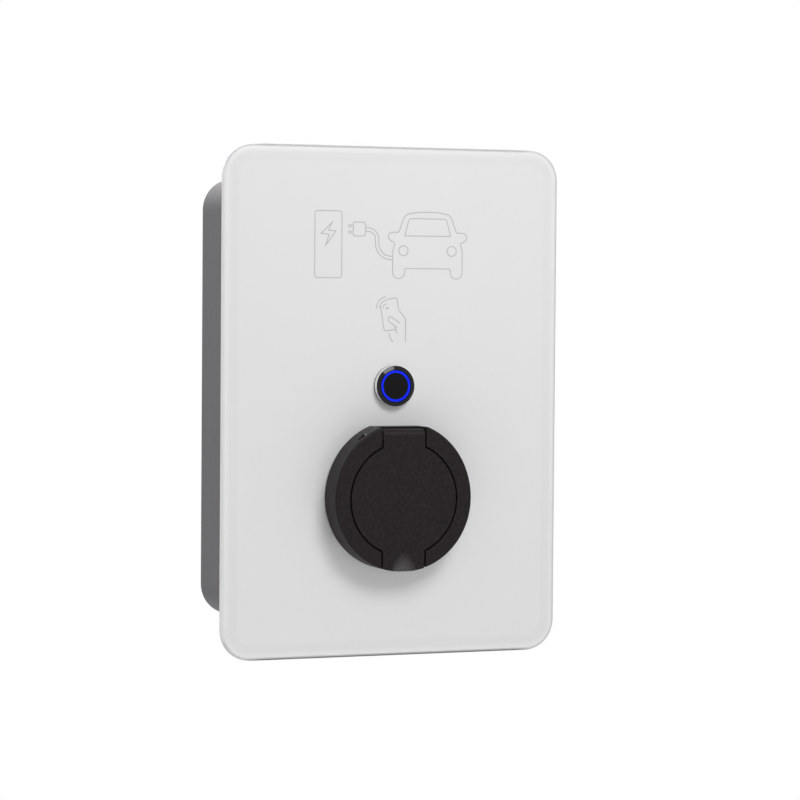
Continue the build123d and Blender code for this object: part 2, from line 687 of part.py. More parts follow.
switch = disc(barrel_radius - 0.1, switch_back, barrel_back)
switch -= disc(stem + 0.1, stem_end - BUTTON_TRAVEL - 1, barrel_back + 1)
blade_end = switch_back - BLADE_LENGTH
for x, z in corners(BLADE_SPACING, BLADE_SPACING):
    blade_x, blade_z = around(x, z, 2.8, 0.8)
    switch += block(blade_x, (blade_end, switch_back), blade_z)
parts["button_switch"] = at_button * switch
wire = BUTTON_SPRING_WIRE
spring_run = plunger_base - barrel_back - wire - 0.04
return_coil = coil(BUTTON_SPRING_RADIUS, wire, spring_run, 3)
spring_foot = Pos(0, -(barrel_back + wire / 2 + 0.02), 0) * Rot(90, 0, 0)
parts["button_spring"] = at_button * (spring_foot * return_coil)

# Main board on spacers, with what sits on it
board_outline = Pos(0, BOARD_Z) * sheet(BOARD_WIDTH, BOARD_HEIGHT, BOARD_CORNER)
board = slab(board_outline, board_back, board_front)
board_top = BOARD_Z + BOARD_HEIGHT / 2
screw_radius = BOARD_SCREW_DIAMETER / 2
spacers = []
board_screws = []
for x, z in corners(BOARD_WIDTH - 2 * BOARD_SCREW_INSET, BOARD_HEIGHT - 2 * BOARD_SCREW_INSET):
    z += BOARD_Z
    board -= disc(screw_radius + 0.15, board_back - 1, board_front + 1, x, z)
    tube = Pos(x, z) * (RegularPolygon(SPACER_DIAMETER / 2, 6) - Circle(screw_radius + 0.05))
    spacers.append(slab(tube, ENCLOSURE_WALL, board_back))
    screw = disc(screw_radius, board_back - 0.6 * BOARD_STANDOFF, board_front, x, z)
    board_screws.append(screw + disc(2 * screw_radius, board_front, board_front + 1.4 * screw_radius, x, z))
parts["control_board"] = board
parts["board_spacers"] = group(spacers)
parts["board_screws"] = group(board_screws)


def on_board(x, z, width, height, tall):
    """A rectangular component standing on the main board."""
    x_span, z_span = around(x, z, width, height)
    return block(x_span, (board_front, board_front + tall), z_span)


relay_z = board_top - RELAY_HEIGHT / 2 - RELAY_MARGIN
relays = []
for step in (-1.5, -0.5, 0.5, 1.5):
    relay_x = step * (RELAY_WIDTH + RELAY_GAP)
    relay = on_board(relay_x, relay_z, RELAY_WIDTH, RELAY_HEIGHT, RELAY_TALL)
    relays.append(fillet(relay.edges().filter_by(Axis.Y), 1))
parts["power_relays"] = group(relays)
module = on_board(MODULE_X, MODULE_Z, MODULE_WIDTH, MODULE_HEIGHT, MODULE_TALL)
parts["power_supply"] = chamfer(module.faces().sort_by(Axis.Y)[0].edges(), 1)
sensor = on_board(SENSOR_X, SENSOR_Z, SENSOR_WIDTH, SENSOR_HEIGHT, SENSOR_TALL)
sensor_hole = (SENSOR_Z - SENSOR_HEIGHT, SENSOR_Z + SENSOR_HEIGHT)
sensor -= post(SENSOR_HOLE_DIAMETER / 2, sensor_hole, SENSOR_X, board_front + SENSOR_TALL / 2)
parts["current_sensor"] = sensor
cans = []
for step in (-1, 0, 1):
    can = disc(CAN_DIAMETER / 2, board_front, board_front + CAN_TALL, CAN_X + CAN_PITCH * step, CAN_Z)
    cans.append(chamfer(can.faces().sort_by(Axis.Y)[0].edges(), 0.8))
parts["capacitors"] = group(cans)
supply_z = BOARD_Z - BOARD_HEIGHT / 2 + SUPPLY_HEIGHT / 2 + SUPPLY_MARGIN
supply_low = supply_z - SUPPLY_HEIGHT / 2
supply_front = board_front + SUPPLY_TALL
supply = on_board(0, supply_z, 5 * SUPPLY_PITCH + SUPPLY_MARGIN, SUPPLY_HEIGHT, SUPPLY_TALL)
outlet_front = max(board_front + OUTLET_TALL, lead_depth + 2 * LEAD_DIAMETER)
outlet_low = OUTLET_Z - OUTLET_HEIGHT / 2
outlet_x, outlet_z = around(0, OUTLET_Z, 5 * CONTACT_PITCH + LEAD_DIAMETER, OUTLET_HEIGHT)
outlets = block(outlet_x, (board_front, outlet_front), outlet_z)
lead_end = outlet_low + OUTLET_HEIGHT * 0.45
for step in (-2, -1, 0, 1, 2):
    entry_x = SUPPLY_PITCH * step
    entry_z = (supply_low - 1, supply_low + 0.4 * SUPPLY_HEIGHT)
    supply -= post(SUPPLY_ENTRY_DIAMETER / 2, entry_z, entry_x, board_front + 0.4 * SUPPLY_TALL)
    driver = SUPPLY_ENTRY_DIAMETER * 0.4
    supply -= disc(driver, supply_front - 4, supply_front + 1, entry_x, supply_z + driver)
    terminal_x = CONTACT_PITCH * step
    outlets -= post(LEAD_DIAMETER / 2 + 0.1, (outlet_low - 1, lead_end), terminal_x, lead_depth)
    outlets -= disc(LEAD_DIAMETER * 0.55, outlet_front - 3, outlet_front + 1, terminal_x, OUTLET_Z + 1)
parts["supply_terminals"] = supply
parts["output_terminals"] = outlets
signal_z = SOCKET_Z + CONTACT_UPPER
radio_z = board_top - RADIO_HEIGHT / 2 - 1
radio = on_board(RADIO_X, radio_z, RADIO_WIDTH, RADIO_HEIGHT, RADIO_TALL / 3)
shield_height = RADIO_HEIGHT * 0.62
shield_z = radio_z - RADIO_HEIGHT / 2 + shield_height / 2 + 1
radio += on_board(RADIO_X, shield_z, RADIO_WIDTH - 3, shield_height, RADIO_TALL)
parts["radio_module"] = radio
headers = [
    on_board(0, signal_z, SIGNAL_SPACING + HEADER_HEIGHT, HEADER_HEIGHT, header_tall),
    on_board(0, BUTTON_Z + BLADE_SPACING / 2, BLADE_SPACING + 4, HEADER_HEIGHT - 1, header_tall),
    on_board(0, READER_HEADER_Z, HEADER_WIDTH, HEADER_HEIGHT, header_tall),
]
parts["board_headers"] = group(headers)

# Card reader's antenna board behind the glass
reader_x, reader_z = around(0, READER_Z, READER_WIDTH, READER_HEIGHT)
reader_face = glass_back - BOARD_THICKNESS
reader_back = reader_face - READER_PLUG_TALL
reader = block(reader_x, (reader_face, glass_back), reader_z)
plug_x, plug_z = around(0, READER_Z, HEADER_WIDTH, HEADER_HEIGHT)
reader += block(plug_x, (reader_back, reader_face), plug_z)
parts["card_reader_board"] = reader

# Conductors between the contacts and the board
for name, (x, z) in zip(("lead_l1", "lead_l2", "lead_pe", "lead_l3", "lead_n"), power_places):
    start_z = SOCKET_Z + z
    run = [(x, tail_end, start_z), (x, lead_depth, start_z), (x, lead_depth, lead_end)]
    parts[name] = lead(run, LEAD_DIAMETER / 2, lead_bend)
wire = SIGNAL_LEAD_DIAMETER / 2
signal_wires = [disc(wire, header_front, tail_end, x, SOCKET_Z + z) for x, z in signal_places]
parts["signal_leads"] = group(signal_wires)
blade_z = BUTTON_Z + BLADE_SPACING / 2
button_wires = [disc(wire, header_front, blade_end, side * BLADE_SPACING / 2, blade_z) for side in (-1, 1)]
parts["button_leads"] = group(button_wires)
bow = (reader_back + header_front) / 2
reader_bend = 0.15 * (reader_back - header_front)
reader_run = [
    (0, reader_back, READER_Z),
    (0, bow, READER_Z),
    (0, bow, READER_HEADER_Z),
    (0, header_front, READER_HEADER_Z),
]
parts["reader_lead"] = lead(reader_run, READER_LEAD_DIAMETER / 2, reader_bend)

# Cable gland in the enclosure's bottom
thread = GLAND_THREAD_DIAMETER / 2
gland_bore = GLAND_BORE_DIAMETER / 2
across = GLAND_FLATS / 2
inside_z = floor_z + ENCLOSURE_WALL
collar_z = floor_z - GLAND_HEXAGON
sleeve_z = collar_z - GLAND_SLEEVE
thread_top = inside_z + GLAND_THREAD_LENGTH
hexagon = extrude(RegularPolygon(across, 6, major_radius=False), GLAND_HEXAGON)
gland = post(thread, (floor_z, thread_top), 0, GLAND_DEPTH)
gland += Pos(0, -GLAND_DEPTH, collar_z) * hexagon
gland += post(thread - 0.5, (sleeve_z, collar_z), 0, GLAND_DEPTH)
gland -= post(gland_bore, (sleeve_z - 1, thread_top + 1), 0, GLAND_DEPTH)
parts["gland_body"] = gland
locknut = extrude(RegularPolygon(across + 0.5, 6, major_radius=False), GLAND_HEXAGON)
locknut -= Cylinder(thread + 0.05, 4 * GLAND_HEXAGON)
parts["gland_locknut"] = Pos(0, -GLAND_DEPTH, inside_z) * locknut
cap_bottom = collar_z - GLAND_CAP_LENGTH
lip_top = cap_bottom + GLAND_CAP_LIP
dome = post(across - 0.5, (cap_bottom, collar_z), 0, GLAND_DEPTH)
dome = fillet(dome.faces().sort_by(Axis.Z)[0].edges(), GLAND_CAP_ROUND)
dome -= post(thread - 0.45, (lip_top, collar_z + 1), 0, GLAND_DEPTH)
dome -= post(gland_bore, (cap_bottom - 1, collar_z), 0, GLAND_DEPTH)
parts["gland_cap"] = dome
grip = post(thread - 0.5, (lip_top, sleeve_z), 0, GLAND_DEPTH)
grip -= post(gland_bore, (cap_bottom, sleeve_z + 1), 0, GLAND_DEPTH)
parts["gland_seal"] = grip

os.makedirs("parts", exist_ok=True)
for name, shape in parts.items():
    export_step(shape, f"parts/{name}.step")
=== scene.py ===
"""Finishes, signs, fasteners and studio of a wall-mounted charging point."""

from math import cos, degrees, pi, radians, sin

import bmesh
import bpy
from bpy.props import FloatProperty, FloatVectorProperty, IntProperty, PointerProperty
from mathutils import Matrix, Vector


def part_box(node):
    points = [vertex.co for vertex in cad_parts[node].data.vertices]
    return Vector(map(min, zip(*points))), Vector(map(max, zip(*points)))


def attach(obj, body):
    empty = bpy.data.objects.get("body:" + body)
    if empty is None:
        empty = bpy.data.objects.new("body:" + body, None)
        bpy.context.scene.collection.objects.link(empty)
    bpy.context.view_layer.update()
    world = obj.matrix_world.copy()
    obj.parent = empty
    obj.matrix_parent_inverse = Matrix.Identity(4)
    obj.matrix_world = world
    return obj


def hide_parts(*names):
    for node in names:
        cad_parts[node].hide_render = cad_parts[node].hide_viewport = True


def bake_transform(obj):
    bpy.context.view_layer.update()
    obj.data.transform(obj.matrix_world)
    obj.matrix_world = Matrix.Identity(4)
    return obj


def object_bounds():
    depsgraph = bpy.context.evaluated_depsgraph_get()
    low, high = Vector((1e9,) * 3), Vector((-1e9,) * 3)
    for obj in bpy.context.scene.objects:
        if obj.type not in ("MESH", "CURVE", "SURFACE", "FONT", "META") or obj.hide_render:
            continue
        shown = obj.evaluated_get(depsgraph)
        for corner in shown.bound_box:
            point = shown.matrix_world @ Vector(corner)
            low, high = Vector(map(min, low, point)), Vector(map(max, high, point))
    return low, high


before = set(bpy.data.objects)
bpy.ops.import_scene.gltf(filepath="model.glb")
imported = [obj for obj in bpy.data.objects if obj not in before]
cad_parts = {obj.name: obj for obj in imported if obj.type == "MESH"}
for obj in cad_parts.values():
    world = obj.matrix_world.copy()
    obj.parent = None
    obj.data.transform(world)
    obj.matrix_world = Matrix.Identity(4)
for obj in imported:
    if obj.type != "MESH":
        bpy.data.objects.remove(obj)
cad_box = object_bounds()

bl_info = {
    "name": "EV wallbox",
    "version": (1, 0, 0),
    "blender": (4, 5, 0),
    "location": "View3D > Sidebar > Wallbox",
    "description": "Finishes, signs, fasteners and studio of a wall-mounted charging point",
    "category": "Object",
}

# A millimetre in metres, and the body that the new pieces ride on
MM = 0.001
BODY = "wallbox"
# Vertices nearer than this become one, and edges that turn further than this stay sharp
MERGE = 1e-7
SHARP = radians(30)
# Sockets of a Mix node that blends colours
FACTOR, FIRST, SECOND, RESULT = 0, 6, 7, 2
WHITE = (1.0, 1.0, 1.0, 1.0)


# Colours, sizes and studio that a user may change
def colour(label, words, value):
    """A colour to choose."""
    return FloatVectorProperty(
        name=label, description=words, subtype="COLOR", size=3, min=0.0, max=1.0, default=value
    )


def length(label, words, value):
    """A length to choose."""
    return FloatProperty(name=label, description=words, unit="LENGTH", min=0.0, default=value)


def location(label, words, value):
    """A point in the room to choose."""
    return FloatVectorProperty(name=label, description=words, unit="LENGTH", size=3, default=value)


def power(label, words, value):
    """A lamp's power to choose."""
    return FloatProperty(name=label, description=words, unit="POWER", min=0.0, default=value)


class WallboxColours(bpy.types.PropertyGroup):
    """Colours of the finishes."""

    glass: colour("Glass front", "White paint behind the glass", (0.79, 0.79, 0.794))
    # The glass edge's colours are painted light and shade: the grey carries painted shade, the foot's
    # dark is a painted shadow, and the side colour is a painted reflection
    glass_edge_and_painted_shade: colour("Glass edge", "Ground edge of the glass", (0.33, 0.335, 0.335))
    glass_foot_painted_shadow: colour("Lower glass edge", "Ground edge along the foot", (0.11, 0.113, 0.113))
    glass_side_painted_reflection: colour("Side glass edge", "Ground edge at the corners and sides", (0.52, 0.52, 0.53))
    enclosure: colour("Enclosure", "Grey textured paint", (0.124, 0.121, 0.127))
    moulding: colour("Socket moulding", "Black grained plastic", (0.0142, 0.0110, 0.0116))
    # The scoop's lighter colour is a painted highlight, standing for light caught in the hollow
    scoop: colour("Thumb scoop", "Worn plastic of the lid's scoop", (0.076, 0.069, 0.070))
    cavity: colour("Socket cavity", "Black satin plastic", (0.010, 0.010, 0.011))
    bezel: colour("Button bezel", "Black gloss of the button", (0.006, 0.006, 0.007))
    bezel_side: colour("Button side", "Bright metal side of the button", (0.86, 0.86, 0.87))
    lamp: colour("Button light", "Lit ring of the button", (0.0, 0.016, 1.0))
    lamp_off: colour("Button lens", "Lens of the ring without its light", (0.0, 0.004, 0.06))
    cap: colour("Button cap", "Black satin centre of the button", (0.009, 0.009, 0.010))
    sign: colour("Signs", "Printed lines on the glass", (0.46, 0.46, 0.465))
    rubber: colour("Seals", "Black rubber", (0.016, 0.016, 0.016))
    gland: colour("Cable gland", "Black plastic of the gland", (0.014, 0.014, 0.015))
    zinc: colour("Zinc plate", "Zinc plated sheet and fasteners", (0.60, 0.60, 0.58))
    steel: colour("Steel", "Bright steel", (0.55, 0.55, 0.56))
    silver: colour("Contacts", "Silver plated contacts", (0.80, 0.77, 0.70))
    board: colour("Boards", "Green solder mask", (0.006, 0.055, 0.022))
    track: colour("Board tracks", "Solder mask over copper", (0.012, 0.095, 0.040))
    earth: colour("Earth lead", "Green of the earth lead", (0.03, 0.22, 0.03))
    stripe: colour("Earth stripe", "Yellow of the earth lead", (0.62, 0.46, 0.02))
    floor: colour("Floor", "Pale floor below the wallbox", (0.86, 0.86, 0.86))


class WallboxSizes(bpy.types.PropertyGroup):
    """Sizes of the signs and small pieces."""

    line: length("Line width", "Width of the printed lines", 0.55 * MM)
    print_depth: length("Print thickness", "Thickness of the printed lines", 0.04 * MM)
    recess: length("Screw recess", "Across the corners of the hexagon recess", 3.4 * MM)
    ribs: IntProperty(name="Gland ribs", description="Grip ribs round the gland's cap", min=8, default=24)
    rib_depth: length("Rib depth", "How far a grip rib stands out", 0.5 * MM)
    lid_wire: length("Lid spring wire", "Wire diameter of the lid's spring", 0.8 * MM)
    lid_coil: length("Lid spring radius", "Mean radius of the lid's spring", 2.5 * MM)
    button_wire: length("Button spring wire", "Wire diameter of the button's spring", 0.9 * MM)


class WallboxStudio(bpy.types.PropertyGroup):
    """Camera, lamps and floor."""

    eye: location("Camera place", "Where the camera stands", (-0.6898, -1.8481, 0.0687))
    aim: FloatVectorProperty(
        name="Camera turn", description="Yaw, pitch and roll of the camera", unit="ROTATION", size=3,
        default=(radians(-21.675), radians(-2.059), radians(-0.441)),
    )
    lens: FloatProperty(name="Lens", description="Focal length", unit="CAMERA", min=1.0, default=134.73)
    key: power("Key lamp", "Power of the lamp in front", 5.2)
    key_place: location("Key lamp place", "Where the lamp in front hangs", (0.10, -0.93, 0.60))
    key_size: length("Key lamp size", "Side of the lamp in front", 0.40)
    top: power("Top lamp", "Power of the lamp above", 20.0)
    top_place: location("Top lamp place", "Where the lamp above hangs", (-0.22, 0.16, 1.0))
    top_size: length("Top lamp size", "Side of the lamp above", 0.45)
    sky: FloatProperty(
        name="Sky", description="Strength of the even light", subtype="FACTOR", min=0.0, max=1.0,
        default=0.45,
    )
    floor_drop: length("Floor drop", "How far the floor lies below the wallbox", 0.30)
    floor_radius: length("Floor radius", "Radius of the round floor", 0.95)


def colours():
    """The colours as they are set."""
    return bpy.context.scene.wallbox_colours


def sizes():
    """The sizes as they are set."""
    return bpy.context.scene.wallbox_sizes


def studio():
    """The studio as it is set."""
    return bpy.context.scene.wallbox_studio


# Node groups for effects that several finishes share
def reckon(tree, operation, first, second=0.0):
    """One step of arithmetic on an output, with another output or a number."""
    node = tree.nodes.new("ShaderNodeMath")
    node.operation = operation
    tree.links.new(first, node.inputs[0])
    if isinstance(second, bpy.types.NodeSocket):
        tree.links.new(second, node.inputs[1])
    else:
        node.inputs[1].default_value = second
    return node.outputs[0]


def effect(name, values, outputs):
    """An empty shader group that takes a place and some values."""
    tree = bpy.data.node_groups.new(name, "ShaderNodeTree")
    tree.interface.new_socket(name="Vector", in_out="INPUT", socket_type="NodeSocketVector")
    for label in values:
        tree.interface.new_socket(name=label, in_out="INPUT", socket_type="NodeSocketFloat")
    for label in outputs:
        tree.interface.new_socket(name=label, in_out="OUTPUT", socket_type="NodeSocketFloat")
    return tree, tree.nodes.new("NodeGroupInput"), tree.nodes.new("NodeGroupOutput")


def add_noises(tree, given, result, place, fine, broad):
    """A noise for the height and one for the tone, each with its detail."""
    for scale, detail, output in (("Grain", fine, "Height"), ("Cloud", broad, "Tone")):
        noise = tree.nodes.new("ShaderNodeTexNoise")
        noise.inputs["Detail"].default_value = detail
        tree.links.new(place, noise.inputs["Vector"])
        tree.links.new(given.outputs[scale], noise.inputs["Scale"])
        tree.links.new(noise.outputs[0], result.inputs[output])


def grain_effect():
    """Moulded or sprayed grain: a fine height and a broad change of tone."""
    if "surface_grain" in bpy.data.node_groups:
        return bpy.data.node_groups["surface_grain"]
    tree, given, result = effect("surface_grain", ("Grain", "Cloud"), ("Height", "Tone"))
    add_noises(tree, given, result, given.outputs["Vector"], fine=3.0, broad=2.0)
    return tree


def streak_effect():
    """Drawn or turned metal: streaks along Z."""
    if "drawn_streaks" in bpy.data.node_groups:
        return bpy.data.node_groups["drawn_streaks"]
    tree, given, result = effect("drawn_streaks", ("Grain", "Cloud"), ("Height", "Tone"))
    stretch = tree.nodes.new("ShaderNodeMapping")
    stretch.inputs["Scale"].default_value = (1.0, 1.0, 0.04)
    tree.links.new(given.outputs["Vector"], stretch.inputs["Vector"])
    add_noises(tree, given, result, stretch.outputs["Vector"], fine=2.0, broad=4.0)
    return tree


def edge_effect():
    """How far a point lies inside a rounded rectangle in the X-Z plane."""
    if "edge_distance" in bpy.data.node_groups:
        return bpy.data.node_groups["edge_distance"]
    tree, given, result = effect("edge_distance", ("Half Width", "Half Height", "Corner"), ("Distance",))

    def step(*terms):
        return reckon(tree, *terms)

    place = tree.nodes.new("ShaderNodeSeparateXYZ")
    tree.links.new(given.outputs["Vector"], place.inputs[0])
    corner = given.outputs["Corner"]
    past = []
    for axis, half in (("X", "Half Width"), ("Z", "Half Height")):
        straight = step("SUBTRACT", given.outputs[half], corner)
        past.append(step("SUBTRACT", step("ABSOLUTE", place.outputs[axis]), straight))
    squares = [step("POWER", step("MAXIMUM", value), 2.0) for value in past]
    outside = step("SQRT", step("ADD", *squares))
    inside = step("MINIMUM", step("MAXIMUM", *past))
    tree.links.new(step("SUBTRACT", corner, step("ADD", outside, inside)), result.inputs["Distance"])
    return tree


# Finishes
class Finish:
    """A Principled material whose colour, roughness and relief vary over the surface."""

    # The range that the broad noise mostly keeps to
    usual = (0.25, 0.75)

    def __init__(self, name, group, grain, cloud):
        self.material = bpy.data.materials.new(name)
        self.material.use_nodes = True
        self.tree = self.material.node_tree
        self.nodes = self.tree.nodes
        self.links = self.tree.links
        self.shader = self.nodes["Principled BSDF"]
        self.place = self.nodes.new("ShaderNodeTexCoord")
        self.effect = self.nodes.new("ShaderNodeGroup")
        self.effect.node_tree = group
        self.effect.inputs["Grain"].default_value = grain
        self.effect.inputs["Cloud"].default_value = cloud
        self.links.new(self.place.outputs["Object"], self.effect.inputs["Vector"])

    def set(self, **values):
        """Constant values, on the shader's own sockets."""
        for key, value in values.items():
            self.shader.inputs[key.replace("_", " ")].default_value = value
        return self

    def vary(self, socket, output):
        """A value that changes over the surface, on one of the shader's sockets."""
        self.links.new(output, self.shader.inputs[socket])
        return self

    def mix(self, factor, first, second):
        """A blend of two colours, each a constant or an output."""
        node = self.nodes.new("ShaderNodeMix")
        node.data_type = "RGBA"
        self.links.new(factor, node.inputs[FACTOR])
        for socket, value in ((node.inputs[FIRST], first), (node.inputs[SECOND], second)):
            if isinstance(value, bpy.types.NodeSocket):
                self.links.new(value, socket)
            else:
                socket.default_value = (*value, 1.0)
        return node.outputs[RESULT]

    def product(self, first, second):
        """Two colours multiplied."""
        node = self.nodes.new("ShaderNodeMix")
        node.data_type = "RGBA"
        node.blend_type = "MULTIPLY"
        node.inputs[FACTOR].default_value = 1.0
        self.links.new(first, node.inputs[FIRST])
        self.links.new(second, node.inputs[SECOND])
        return node.outputs[RESULT]

    def between(self, value, low, high, start=0.0, end=1.0):
        """A value mapped onto a range."""
        node = self.nodes.new("ShaderNodeMapRange")
        self.links.new(value, node.inputs["Value"])
        node.inputs["From Min"].default_value = start
        node.inputs["From Max"].default_value = end
        node.inputs["To Min"].default_value = low
        node.inputs["To Max"].default_value = high
        return node.outputs["Result"]

    def ramp(self, value, stops):
        """Greys along a value, each stop a position and a grey."""
        node = self.nodes.new("ShaderNodeValToRGB")
        node.color_ramp.interpolation = "EASE"
        points = node.color_ramp.elements
        while len(points) < len(stops):
            points.new(0.5)
        for point, (position, grey) in zip(points, stops):
            point.position = position
            point.color = (grey, grey, grey, 1.0)
        self.links.new(value, node.inputs[0])
        return node.outputs[0]

    def tone(self, rgb, spread):
        """A colour that lightens and darkens a little over the surface."""
        dark = [c * (1 - spread) for c in rgb]
        light = [min(1.0, c * (1 + spread)) for c in rgb]
        return self.mix(self.effect.outputs["Tone"], dark, light)

    def rough(self, value, spread):
        """A roughness that varies a little over the surface."""
        tone = self.effect.outputs["Tone"]
        return self.vary("Roughness", self.between(tone, value - spread, value + spread, *self.usual))

    def relief(self, strength, depth):
        """Fine relief from the effect's height."""
        bump = self.nodes.new("ShaderNodeBump")
        bump.inputs["Strength"].default_value = strength
        bump.inputs["Distance"].default_value = depth
        self.links.new(self.effect.outputs["Height"], bump.inputs["Height"])
        return self.vary("Normal", bump.outputs["Normal"])

    def base(self, output):
        """The surface's colour."""
        return self.vary("Base Color", output)

    def axis(self, letter, source="Object"):
        """One coordinate of the place on the piece, or of its normal."""
        node = self.nodes.new("ShaderNodeSeparateXYZ")
        self.links.new(self.place.outputs[source], node.inputs[0])
        return node.outputs[letter]

    def step(self, operation, first, second=0.0):
        """One step of arithmetic on an output, with another output or a number."""
        return reckon(self.tree, operation, first, second)


def plastic(name, rgb, roughness, spread=0.10, grain=900.0, strength=0.25, level=0.3, cloud=60.0):
    """Moulded plastic, rubber or paint with fine grain."""
    made = Finish(name, grain_effect(), grain, cloud)
    made.base(made.tone(rgb, spread)).rough(roughness, 0.05).relief(strength, depth=0.1 * MM)
    return made.set(Specular_IOR_Level=level)


def metal(name, rgb, roughness):
    """Drawn, plated or turned metal."""
    made = Finish(name, streak_effect(), grain=2600.0, cloud=500.0)
    made.base(made.tone(rgb, 0.06)).rough(roughness, 0.06).relief(strength=0.06, depth=0.02 * MM)
    return made.set(Metallic=1.0)


def paint_nodes(finish, *names):
    """Gives a finish to CAD nodes."""
    for name in names:
        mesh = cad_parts[name].data
        mesh.materials.clear()
        mesh.materials.append(finish.material)


# New pieces
def add_piece(name, bm, finish, stands_for=(), joins=None):
    """Turns a bmesh into a piece of the wallbox, or, when it is given joins, into a loose piece that
    stays in place.
    """
    bmesh.ops.remove_doubles(bm, verts=bm.verts, dist=MERGE)
    bmesh.ops.recalc_face_normals(bm, faces=bm.faces)
    mesh = bpy.data.meshes.new(name)
    bm.to_mesh(mesh)
    bm.free()
    mesh.polygons.foreach_set("use_smooth", [True] * len(mesh.polygons))
    mesh.set_sharp_from_angle(angle=SHARP)
    mesh.materials.append(finish.material)
    piece = bpy.data.objects.new(name, mesh)
    bpy.context.scene.collection.objects.link(piece)
    if joins:
        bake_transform(piece)
    else:
        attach(piece, BODY)
    if stands_for:
        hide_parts(*stands_for)


def new_geometry(made, kind):
    """The vertices, edges or faces that an operator made."""
    return [item for item in made if isinstance(item, kind)]


def turned(profile, steps):
    """A body turned round Z from radii and heights."""
    bm = bmesh.new()
    verts = [bm.verts.new((radius, 0, z)) for radius, z in profile]
    edges = [bm.edges.new(pair) for pair in zip(verts, verts[1:])]
    bmesh.ops.spin(
        bm, geom=verts + edges, cent=(0, 0, 0), axis=(0, 0, 1), angle=2 * pi, steps=steps, use_merge=True
    )
    bmesh.ops.remove_doubles(bm, verts=bm.verts, dist=MERGE)
    bmesh.ops.recalc_face_normals(bm, faces=bm.faces)
    return bm


class Pen:
    """Prints lines of one width on a face that looks along -Y, from x and z in millimetres."""

    # Steps round a dot and round a corner, and along an arc the degrees of a step and the fewest
    dot_steps = 32
    corner_steps = 7
    arc_degrees = 9
    arc_fewest = 3
    # Axis of a turn to the left, seen from the front
    towards_eye = Vector((0, -1, 0))

    def __init__(self, line, face_y):
        self.bm = bmesh.new()
        self.line = line
        self.face_y = face_y

    def outline(self, corners):
        """A closed line inside a shape, whose corners have x, z and rounding."""
        before = set(self.bm.faces)
        verts = [self.bm.verts.new((x * MM, self.face_y, z * MM)) for x, z, turn in corners]
        self.bm.faces.new(verts)
        for vert, (x, z, turn) in zip(verts, corners):
            if turn:
                bmesh.ops.bevel(
                    self.bm, geom=[vert], offset=turn * MM, offset_type="OFFSET",
                    segments=self.corner_steps, profile=0.5, affect="VERTICES", material=-1,
                )
        self.hollow_out(before)

    def hollow_out(self, before):
        """Leaves only a line along the edge of the newest faces."""
        shape = [face for face in self.bm.faces if face not in before]
        self.bm.normal_update()
        bmesh.ops.inset_region(
            self.bm, faces=shape, thickness=self.line, use_even_offset=True, use_boundary=True
        )
        bmesh.ops.delete(self.bm, geom=shape, context="FACES")

    def circle(self, x, z, radius):
        """A printed circle."""
        before = set(self.bm.faces)
        self.dot(x, z, radius)
        self.hollow_out(before)

    def dot(self, x, z, radius):
        """A printed dot."""
        place = Matrix.Translation((x * MM, self.face_y, z * MM)) @ Matrix.Rotation(pi / 2, 4, "X")
        bmesh.ops.create_circle(
            self.bm, cap_ends=True, segments=self.dot_steps, radius=radius * MM, matrix=place
        )

    def stroke(self, x, z, heading, moves):
        """An open line of straight runs, and of arcs given as radius and turn to the left."""
        spot = Vector((x * MM, self.face_y, z * MM))
        ahead = Vector((cos(radians(heading)), 0, sin(radians(heading))))
        left = Vector((-ahead.z, 0, ahead.x))
        aside = left * self.line / 2
        tip = [self.bm.verts.new(spot + aside), self.bm.verts.new(spot - aside)]
        edge = self.bm.edges.new(tip)
        for move in moves:
            if isinstance(move, tuple):
                radius, turn = move
                pivot = spot + left * radius * MM * (1 if turn > 0 else -1)
                made = bmesh.ops.spin(
                    self.bm, geom=[edge, *tip], cent=pivot, axis=self.towards_eye, angle=radians(turn),
                    steps=max(self.arc_fewest, int(abs(turn) / self.arc_degrees)),
                )["geom_last"]
                swing = Matrix.Rotation(radians(turn), 3, self.towards_eye)
                spot = pivot + swing @ (spot - pivot)
                ahead = swing @ ahead
                left = swing @ left
                tip = new_geometry(made, bmesh.types.BMVert)
            else:
                made = bmesh.ops.extrude_edge_only(self.bm, edges=[edge])["geom"]
                tip = new_geometry(made, bmesh.types.BMVert)
                bmesh.ops.translate(self.bm, verts=tip, vec=ahead * move * MM)
                spot = spot + ahead * move * MM
            edges = new_geometry(made, bmesh.types.BMEdge)
            edge = next(e for e in edges if e.verts[0] in tip and e.verts[1] in tip)


